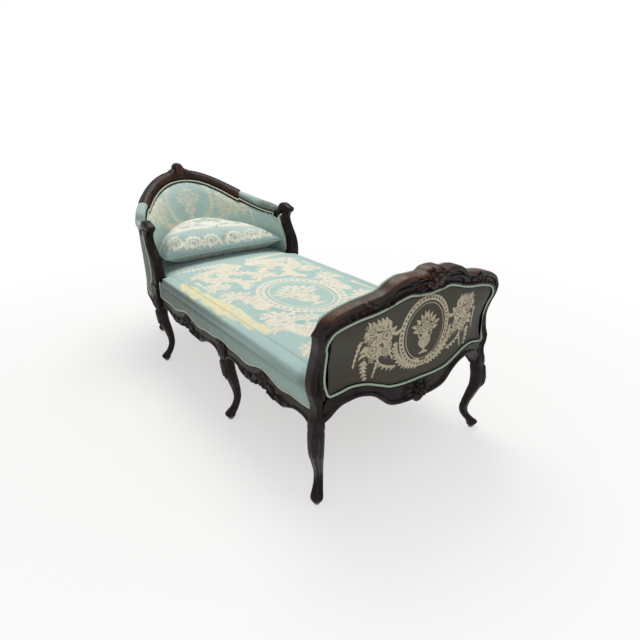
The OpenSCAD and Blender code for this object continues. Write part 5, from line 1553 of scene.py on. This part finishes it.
hessian_rings = []
for y in np.linspace(-POST_IN - 12, POST_IN + 12, 90):
    z = np.linspace(PAD_Z, inner_top(y) - 3, 30)
    back = foot_back(y, z) - GAP
    hessian_rings.append(np.column_stack([np.r_[back - HESSIAN_T, back[::-1]], np.full(60, y),
                                          np.r_[z, z[::-1]]]))
hessian = cover("foot_hessian_cloth", hessian_rings, KEPT["seat_hessian"],
                ["foot_hessian"])

foot_pad = stuffed("foot_inner_pad", AQUA, 0.006, 3, 6,
                   lambda co: step(foot_inner(co[:, 1], co[:, 2]) - co[:, 0], 1, 6),
                   carve=foot_pad_pulls)
at = in_mm(foot_pad)
at[:, 0] += sweep(at[:, 1], at[:, 2])
move_to(foot_pad, place(at))
# Painted shade darkens the pad under the crest rail, at its sides by the posts and low down by the
# seat.
down = np.minimum(inner_top(at[:, 1]) - at[:, 2], POST_IN - np.abs(at[:, 1]))
threads(foot_pad, at[:, 1], at[:, 2], None,
        0.5 * (1 - step(down, 0, 18)) + 0.5 * (1 - step(at[:, 2], 408, 450)))

inner_side = POST_IN + WELT + WELT + GAP
over_pad = [(inner_side, z)
            for z in np.linspace(PAD_Z + 2 * WELT, inner_top(inner_side) - 2 * WELT, 30)]
over_pad += [(y, inner_top(y) + WELT)
             for y in np.linspace(inner_side * 0.975, -inner_side * 0.975, 260)]
over_pad += [(-inner_side, z)
             for z in np.linspace(inner_top(inner_side) - 2 * WELT, PAD_Z + 2 * WELT, 30)]
piping("foot_inner_welt", [(foot_inner(y, z) - WELT, y, z) for y, z in over_pad], WELT, SAGE_CORD)

# The outside of the head end: one plain grey-green cotton stretched round the rear posts from arm
# support to arm support, sewn down over both posts and finished with piping along the rails.
SUPPORT_GAP = REBATE / 2


def support_back(z):
    return HEAD_X - support_x(z) + support_half(z) + SUPPORT_GAP


def side_a(u, t, z):
    """Angle at a share of the way along the head end: half way it meets the crest rail's end."""
    u = np.asarray(u, float)
    out = CREST_A + (head_a(support_back(z), t, z) - CREST_A) * (2 * np.abs(u) - 1)
    return np.where(np.abs(u) <= 0.5, 2 * CREST_A * u, np.sign(u) * out)


def under_z(a):
    """Height of the lower edge of what tops the head end: crest rail, arm rail or scroll."""
    a = np.asarray(a, float)
    table = [[r[0], min(1, r[3])] for r in SCROLL]
    scroll_low = np.interp((a - ARM_PAD_A) / (ARM_A - ARM_PAD_A), *np.transpose(table))
    low = ARM_BASE + (SUPPORT_Z - ARM_BASE) * scroll_low - REBATE / 4
    return np.where(a <= CREST_A, top_z(a) - CREST_H,
                    np.where(a < ARM_PAD_A - 1, top_z(a) - ARM_PAD_H, low))


def top_at(u, t):
    z = under_z(np.abs(side_a(u, t, SUPPORT_Z)))
    return under_z(np.abs(side_a(u, t, z))) - GAP


def outside_cover():
    rings = []
    for u in np.linspace(-1, 1, 420):
        low = round_show(side_a(u, 0, SHOW_Z)) + 2 * WELT + 1.2
        high = float(top_at(u, GAP))
        v = np.r_[np.linspace(0, 1, 60), np.linspace(1, 0, 10)]
        z = low + (high - low) * v
        outer = np.arange(len(v)) < 60
        a = side_a(u, GAP, z)
        seam = 1.2 * np.exp(-((np.abs(a) - REAR_A) / 0.35) ** 2)
        slack = 0.7 * np.sin(u * 40 + 3 * np.sin(v * 5)) * np.sin(np.pi * v)
        rings.append(head_pt(a, np.where(outer, 0.9 + seam + slack * 0.5, 4.4), z))
    return rings


outside_rings = outside_cover()
outside = cover("head_outside_cloth", outside_rings, SHADED_OUTSIDE,
                ["head_outer_back", "head_outer_arm_left", "head_outer_arm_right"])
at = in_mm(outside)
angle = np.degrees(np.arctan2(at[:, 1], HEAD_X - at[:, 0]))
# Painted shade darkens the outside low down and along the seams over the rear posts.
shade_and_soil = 0.55 * (1 - step(at[:, 2], 352, 400)) + 0.3 * np.exp(-((np.abs(angle) - REAR_A) / 2) ** 2)
threads(outside, angle * 8, at[:, 2], None, np.clip(shade_and_soil, 0, 1))

around = np.linspace(-1, 1, 500)
low_line = round_show(side_a(around, 0, SHOW_Z)) + WELT + 2 * GAP
path = [head_pt(side_a(u, GAP + WELT / 2, z), GAP + WELT / 2, z) for u, z in zip(around, low_line)]
path = [head_pt(side_a(-1, 2.6, z), 2.6, z) for z in np.linspace(630, low_line[0] + 6, 50)] + path
path += [head_pt(side_a(1, 2.6, z), 2.6, z) for z in np.linspace(low_line[-1] + 6, 630, 50)]
piping("head_outer_welt", np.array(path).reshape(-1, 3), WELT * 0.9, PALE_CORD)

# The inside of the head end: one stuffed pad round the back and both arms, under the figured
# cloth, thick in the middle of the back and thin on the arms, with piping under the crest rail.
def head_print(s, z):
    cloth = Print(s, z)
    cloth.sprig(arc((40, 560, 0), [[80, 10], [80, 30], [60, 40]]), 11, 40, 10)
    cloth.scroll((150, 590, 20), [[60, 30], [50, 60], [40, 80], [28, 90]], 7, 34)
    cloth.sprig(arc((126, 790, -30), [[60, -14], [70, -20], [60, -20]]), 9, 40, 9)
    cloth.sprig(arc((290, 600, 60), [[50, 10], [50, -20]]), 5, 34, 8)
    for c, r, turn in (((186, 700), 36, 10), ((250, 650), 32, 30), ((252, 730), 24, 0),
                       ((312, 676), 22, 15), ((190, 626), 22, 20)):
        cloth.posy(c, r, 9, turn)
    cloth.drop((340, 640), (8, -18), 6, 9)
    cloth.ring((0, 686), (122, 124), 22, 40)
    cloth.ring((0, 686), (100, 102), 3)
    cloth.urn((0, 664), 1.25)
    return cloth.depth - 0.35


def head_hold(co):
    a = np.degrees(np.arctan2(np.abs(co[:, 1]) / ARM_SIDE,
                              np.maximum(1, HEAD_X - co[:, 0]) / HEAD_DEPTH))
    return 1 - 0.6 * step(a, 50, 80)


def head_pulls(co, _):
    x, y, z = co.T
    s = np.degrees(np.arctan2(y, HEAD_X - x))
    fold = np.sin(s / 1.6 + 1.5 * np.sin(s / 5) + z / 60) * np.exp(-np.maximum(0, z - 440) / 140)
    return 0.9 * fold * step(np.abs(s), 20, 50)


head_pad = stuffed("head_inner_pad", BACK_PRINT, 0.006, 3, 6, head_hold,
                   carve=head_pulls)
at = in_mm(head_pad)
angle = np.degrees(np.arctan2(at[:, 1], HEAD_X + 40 - at[:, 0]))
run = angle * 8.2
figure = np.where(np.abs(angle) < 56, head_print(run, at[:, 2]), -9)
pad_top = under_z(np.abs(angle))
# Painted shade darkens the pad low down by the seat and just under the crest rail and arm rails.
shade_and_soil = 0.5 * (1 - step(at[:, 2], 440, 500)) + 0.25 * step(at[:, 2], pad_top - 30, pad_top)
threads(head_pad, run, at[:, 2], figure, np.clip(shade_and_soil, 0, 1))

rim_u = np.linspace(-0.93, 0.93, 460)
rim_z = [float(top_at(u, INNER_T)) - WELT - GAP for u in rim_u]
rim = [head_pt(side_a(u, INNER_T + 2 * WELT, z), INNER_T + 2 * WELT, z)
       for u, z in zip(rim_u, rim_z)]
front_edge = [head_pt(side_a(1, INNER_T + 10, z), INNER_T + 10, z)
              for z in np.linspace(rim_z[-1] - 26, 452, 60)]
mirror_edge = [p * [1, -1, 1] for p in front_edge[::-1]]
piping("head_inner_welt", np.array(mirror_edge + rim + front_edge).reshape(-1, 3), WELT * 0.8,
       PALE_CORD)

# The arm pads: small stuffed rolls of plain cloth nailed along the arm rails, worn to the lining
# at their front ends.
def roll_pulls(co, _):
    a = np.degrees(np.arctan2(np.abs(co[:, 1]), HEAD_X - co[:, 0]))
    return -0.8 * np.abs(np.sin(a * 1.1)) ** 6 + 0.4 * np.sin(a * 2.3)


for word, side in SIDES:
    roll = stuffed("arm_pad_" + word, AQUA, 0.004, 2, 4,
                   carve=roll_pulls)
    at = in_mm(roll)
    angle = np.degrees(np.arctan2(np.abs(at[:, 1]) / ARM_SIDE, (HEAD_X - at[:, 0]) / HEAD_DEPTH))
    low = at[:, 2] - (top_z(angle) - ARM_PAD_H)
    inner = step(ARM_SIDE - 20 - np.abs(at[:, 1]), 0, 10) * step(angle, 50, 62)
    # Painted shade darkens each roll along its lower edge and, most, on its inner face.
    threads(roll, angle * 8, at[:, 2] * 1.3, None,
            np.maximum(0.45 * (1 - step(low, 0, 14)), 0.85 * inner),
            0.9 * step(angle, 70, 76)
            * step(np.sin(at[:, 0] / 5) + np.sin(at[:, 2] / 4), -0.6, 0.8))

# The seat: a long pad stuffed over hessian under the figured cloth, with a plain band stitched
# round it. Plain borders hang from it to the show wood, where piping covers the tacks.
SEAT_SIDE = RAIL_HALF - REBATE + 5
BAND = 54
TOP_Z = 430
FOOT_EDGE = float(foot_back(0, RAIL_TOP)) - 48
SEAM_X = -793
FOLDS = ((-908.7, -0.119), (-650, -0.064))


def seat_stitch(x, y):
    """Distance to the rectangle that the band is stitched along."""
    across = SEAT_SIDE - BAND - np.abs(y)
    along = np.minimum(FOOT_EDGE - 62 - x, x - (HEAD_X + 18))
    return np.minimum(across, along)


def seat_form(co, normal):
    x, y, z = co.T
    top = step(normal[:, 2], 0.5, 0.85) * (z > TOP_Z)
    sewn = seat_stitch(x, y)
    lift = -2.2 * np.exp(-(sewn / 2.6) ** 2) * top
    dimple = 0.5 * np.cos((x + y) / 9 * 2 * np.pi) * np.exp(-(sewn / 5) ** 2) * top
    sag = -4 * np.exp(-((x + 520) / 330) ** 2 - (y / 240) ** 2) * top
    drag = np.sin(x / 21 + 1.7 * np.sin(x / 83) + y / 90) * np.exp(-np.abs(sewn) / 26)
    ripple = np.sin((x * 0.8 + y) / 38 + 2 * np.sin(x / 140)) * np.sin(y / 61 + x / 170)
    lift += dimple + sag + (0.55 * drag + 0.6 * ripple) * top
    for at_x, lean in FOLDS:
        lift -= 1.8 * np.exp(-((x - at_x - lean * y) / 3.2) ** 2) * top
    flank = (np.abs(normal[:, 1]) > 0.6) * (np.abs(y) > 370)
    crease = 1.5 * np.exp(-((z - 424 + 0.012 * (x + 700)) / 2.2) ** 2)
    second = 1.1 * np.exp(-((z - 431) / 2) ** 2) * step(x, -560, -330)
    lift -= flank * (crease + second + 1.2 * np.exp(-((x - SEAM_X) / 2) ** 2))
    side = (np.abs(normal[:, 1]) > 0.35) * (np.abs(y) > 368) * (z < PAD_Z + 14)
    side = side * (x > HEAD_X) * (x < POST_BACK - 6)
    return lift + side * np.maximum(0, SEAT_SIDE + 0.6 - np.abs(y))


def seat_print(x, y):
    """The print reads upright from the foot end."""
    cloth = Print(y, -x)
    cloth.scroll((16, 150, 20), [[90, 50], [80, 60], [60, 80], [44, 100]], 17, 64)
    cloth.scroll((30, 330, 10), [[90, -20], [90, 60], [70, 80], [50, 90]], 16, 60)
    cloth.scroll((150, 840, 120), [[90, -30], [80, -70], [60, -80], [46, -90]], 17, 64)
    cloth.scroll((30, 1010, 60), [[80, -40], [80, -50], [60, -80], [40, -90]], 16, 58)
    cloth.scroll((60, 900, 20), [[90, 20], [80, 60], [60, 70], [40, 90]], 12, 50)
    cloth.sprig(arc((0, 1150, 8), [[90, -8], [90, -12], [80, -20]]), 12, 64, 18)
    cloth.sprig(arc((210, 560, 100), [[90, -6], [80, -20], [70, -20]]), 11, 56, 16)
    cloth.sprig(arc((186, 250, 60), [[70, 10], [60, 10]]), 7, 52, 15)
    cloth.sprig(arc((0, 120, 0), [[80, 4], [80, 8], [70, 20]]), 10, 50, 15)
    cloth.sprig(arc((206, 1000, 60), [[60, 10], [60, 20]]), 7, 52, 15)
    cloth.sprig(arc((40, 1210, 4), [[90, 4], [90, 4], [80, 0]]), 10, 44, 13, 60)
    for c, r, turn in (((212, 470), 44, 0), ((256, 392), 30, 20), ((240, 780), 40, 10),
                       ((196, 700), 28, 30), ((120, 1090), 38, 0), ((0, 960), 40, 5),
                       ((250, 930), 32, 0), ((0, 300), 42, 12), ((90, 240), 30, 30),
                       ((262, 170), 32, 14), ((236, 1120), 32, 40), ((196, 1010), 26, 0),
                       ((110, 400), 26, 24), ((150, 330), 22, 0)):
        cloth.posy(c, r, 9, turn)
    cloth.drop((0, 250), (0, -26), 5, 14)
    cloth.drop((290, 660), (2, -24), 7, 12)
    cloth.drop((290, 1060), (0, -24), 4, 11)
    cloth.ring((0, 640), (158, 206), 40, 40)
    cloth.ring((0, 640), (122, 170), 6)
    cloth.urn((0, 604), 2.0)
    return cloth.depth


def flank_shade(x):
    """Painted shade on the flank: darkest under the arms and hardly any at the foot end."""
    return 0.98 - 0.93 * step(x, -1300, 40)


def seat_hold(co):
    return step(co[:, 2], PAD_Z + 1, PAD_Z + 10)


seat = stuffed("seat_pad", AQUA_PRINT, 0.007, 2.5, 4, seat_hold, carve=seat_form)
at = in_mm(seat)
x, y, z = at.T
sewn = seat_stitch(x, y)
figure = np.where((z > TOP_Z) & (sewn > 3), np.minimum(seat_print(x, y), sewn - 3), -9)
stitches = (np.abs(np.mod(x + y, 9) - 4.5) < 2.6) & (np.abs(sewn) < 1.8) & (z > TOP_Z)
figure = np.where(stitches | ((np.abs(x - SEAM_X) < 2) & (np.abs(y) > 374) & (z < 446)), 1.0,
                  figure)
# A painted shadow darkens the seat under the pillow.
pillow_shadow = step(-x, 1290, 1330) * 0.55
# Painted shade on the seat: darker low on the pad, on its flanks, along the stitched groove and at
# the foot end beside the footboard.
on_side = step(np.abs(y), 366, 376) * (1 - step(z, 432, 452)) * (x > HEAD_X)
shade_and_soil = np.maximum(0.4 * (1 - step(z, 412, 445)), on_side * flank_shade(x))
shade_and_soil += pillow_shadow + 0.3 * np.exp(-(sewn / 4) ** 2)
shade_and_soil += 0.35 * step(x, -110, -70)
cloud = np.sin(x / 47 + 2 * np.sin(y / 29)) + np.sin(x / 19 + y / 13)
patch = ((x + 740) / 400) ** 2 + ((-y - 328 + 0.05 * (x + 740)) / 38) ** 2 + 0.2 * cloud
faded = 0.95 * (1 - step(patch, 0.55, 1.05)) * (y < 0)
for at_x, lean in FOLDS:
    faded = np.maximum(faded, 0.35 * np.exp(-((x - at_x - lean * y - 5) / 7) ** 2) * (z > TOP_Z))
threads(seat, x, y, figure, np.clip(shade_and_soil, 0, 0.9), faded)


def show_line(x):
    middle = np.abs(x - MID_LEG_X) <= LEG_SIDE
    bay_z = np.where(x > MID_LEG_X, bay_show(FOOT_BAY, x), bay_show(HEAD_BAY, x))
    return np.where(middle, LEDGE_Z + GAP, bay_z)


def show_off(x):
    lean = (show_line(x + 0.4) - show_line(x - 0.4)) / 0.8
    return (WELT + 2 * GAP) * np.sqrt(1 + lean ** 2)


BORDER_X0 = HEAD_LEG_X + LEG_SIDE + 2
BORDER_Y = RAIL_HALF - REBATE + GAP
border_x = np.linspace(BORDER_X0, POST_BACK - GAP, 380)
border_low = show_line(border_x) + show_off(border_x) * 1.6
for _ in range(6):
    border_low[1:-1] = (border_low[:-2] + 2 * border_low[1:-1] + border_low[2:]) / 4
for word, side in SIDES:
    rings = []
    for bx, low in zip(border_x, border_low):
        v = np.r_[np.linspace(0, 1, 26), np.linspace(1, 0, 5)]
        outer = np.arange(len(v)) < 26
        bz = low + (PAD_Z - 1 - low) * v
        belly = 2.6 * np.sin(np.pi * np.clip(v, 0, 1) ** 0.8) * outer
        crease = -1.4 * np.exp(-((bz - 398 + 0.02 * (bx + 600)) / 2.5) ** 2) * outer
        pucker = 0.5 * np.sin(bx / 6.3 + 2 * np.sin(bx / 31)) * (1 - step(v, 0, 0.35)) * outer
        seam = -1.2 * np.exp(-((bx - SEAM_X) / 2) ** 2) * outer
        cloth_y = BORDER_Y + np.where(outer, 4.2, 0) + belly + crease + pucker + seam
        rings.append(np.column_stack([np.full(len(v), bx), side * cloth_y, bz]))
    border = cover("seat_border_" + word + "_cloth", rings, AQUA,
                   ["seat_border_" + word])
    at = in_mm(border)
    # Painted shade darkens the border along the flank and in the crease that runs along it.
    shade_and_soil = flank_shade(at[:, 0]) + 0.3 * np.exp(-((at[:, 2] - 402) / 6) ** 2)
    threads(border, at[:, 0], at[:, 2], np.where(np.abs(at[:, 0] - SEAM_X) < 2.2, 1.0, -9),
            np.clip(shade_and_soil, 0, 1))
    run = [(bx, side * (BORDER_Y + WELT), float(show_line(bx) + show_off(bx))) for bx in border_x]
    up = [(BORDER_X0 + 2, side * (BORDER_Y + WELT), bz)
          for bz in np.linspace(436, run[0][2] + 8, 40)]
    piping("seat_welt_" + word, up + run, WELT * 0.9, PALE_CORD)

# The loose pillow: a half-round case of the figured cloth, filled with down, that lies in the
# head end. Its seam is piped, its front corners are pulled to points and it is pressed flat below.
PILLOW_X = HEAD_X - 20
PILLOW_D = 366
PILLOW_HALF = 322
PILLOW_SEAM_UP, PILLOW_SEAM_RISE = 48, 34
SEAT_TOP = PAD_Z + 54


def seam_z(x):
    return SEAT_TOP + PILLOW_SEAM_UP + PILLOW_SEAM_RISE * (PILLOW_X - x) / PILLOW_D


def pillow_outline(count):
    front = [(PILLOW_X - 10 * (1 - u * u), PILLOW_HALF * u) for u in np.linspace(-1, 1, count // 2)]
    around = []
    for a in np.radians(np.linspace(90, -90, count)[1:-1]):
        slim = 1 - 0.05 * math.sin(2 * a) ** 2
        around.append((PILLOW_X - PILLOW_D * abs(math.cos(a)) ** PLAN_POWER,
                       math.copysign(PILLOW_HALF * slim * abs(math.sin(a)) ** PLAN_POWER, a)))
    return np.array(front + around)


PILLOW_LINE = pillow_outline(180)
PILLOW_RING = np.vstack([PILLOW_LINE, PILLOW_LINE[:1]])


def pillow_hold(co):
    edge, _ = off_line(co[:, :2], PILLOW_RING)
    below = step(co[:, 2], SEAT_TOP + 3, SEAT_TOP + 22)
    return step(np.hypot(edge, (co[:, 2] - seam_z(co[:, 0])) * 0.8), 4, 40) * below


def pillow_pulls(co, _):
    x, y, z = co.T
    top = z > seam_z(x)
    edge, along = off_line(co[:, :2], PILLOW_RING)
    gather = 1.6 * np.sin(along * 260 + 3 * np.sin(along * 40))
    gather = gather * np.exp(-edge / 22) * step(edge, 2, 8)
    corner = np.hypot(x - PILLOW_X, np.abs(y) - PILLOW_HALF)
    angle = np.arctan2(PILLOW_X - x, PILLOW_HALF - np.abs(y))
    fan = 2.6 * np.sin(angle * 15) * np.exp(-corner / 70) * step(corner, 6, 30)
    dent = -6 * np.exp(-((y - 40) / 120) ** 2 - ((x - PILLOW_X + 120) / 70) ** 2) * top
    billow = 2.4 * np.sin(y / 52 + 1.3 * np.sin(x / 40)) * np.sin((PILLOW_X - x) / 46) * top
    return (gather + fan + dent + billow) * step(z, SEAT_TOP + 2, SEAT_TOP + 14)


def pillow_print(s, y):
    """s runs from the front seam over the top to the back."""
    cloth = Print(y, s)
    for k in range(3):
        cloth.scroll((16 + 96 * k, 34, 80),
                     [[56, -30], [66, -105], [56, -120], [42, -120], [30, -120], [20, -120]],
                     6, 24, False)
        cloth.leaf((8 + 96 * k, 62), (46 + 96 * k, 34), 9, 0.2)
        cloth.leaf((60 + 96 * k, 40), (98 + 96 * k, 50), 8, -0.2)
    cloth.sprig(arc((0, 176, 2), [[90, 0], [90, -8], [80, -26]]), 15, 34, 12, 64)
    cloth.sprig(arc((0, 330, 6), [[80, -6], [80, -22], [80, -54], [70, -40]]), 16, 56, 17, 60)
    for w in (90, 66, 42, 20):
        tip = np.array([math.cos(math.radians(w)), math.sin(math.radians(w))])
        cloth.leaf((4, 196), np.array([4, 196]) + 84 * tip, 12, 0.16)
    for c, r, turn in (((112, 246), 34, 30), ((206, 240), 28, 70), ((266, 186), 22, 0)):
        cloth.posy(c, r, 9, turn)
    return cloth.depth


pillow = stuffed("pillow", LIGHTENED_PILLOW_PRINT, 0.005, 5, 9, pillow_hold, body="pillow",
                 carve=pillow_pulls)
at = in_mm(pillow)
rise = np.maximum(0, at[:, 2] - seam_z(at[:, 0]))
over = (PILLOW_X - at[:, 0]) + 0.6 * rise
edge, _ = off_line(at[:, :2], PILLOW_RING)
figure = np.where(at[:, 2] > seam_z(at[:, 0]) - 60, pillow_print(over, at[:, 1]), -9)
figure = np.where((edge < 6) & (np.abs(at[:, 2] - seam_z(at[:, 0])) < 6), -9, figure)
# Painted shade darkens the pillow low down where it rests on the seat, and near its seam.
shade_and_soil = 0.75 * (1 - step(at[:, 2], SEAT_TOP + 4, SEAT_TOP + 46)) + 0.2 * np.exp(-edge / 12)
threads(pillow, over, at[:, 1], figure, np.clip(shade_and_soil, 0, 1))

ahead = np.roll(PILLOW_LINE, -1, 0) - np.roll(PILLOW_LINE, 1, 0)
ahead /= np.linalg.norm(ahead, axis=1)[:, None]
out_of = np.column_stack([ahead[:, 1], -ahead[:, 0]])
if ((PILLOW_LINE - PILLOW_LINE.mean(0)) * out_of).sum() < 0:
    out_of = -out_of
seam = PILLOW_LINE + out_of * (WELT * 0.7 + 0.2)
seam = np.column_stack([seam, seam_z(seam[:, 0])])
cord = piping("pillow_welt", seam, WELT * 0.7, CLOTH_CORD, True)
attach(cord, "pillow")
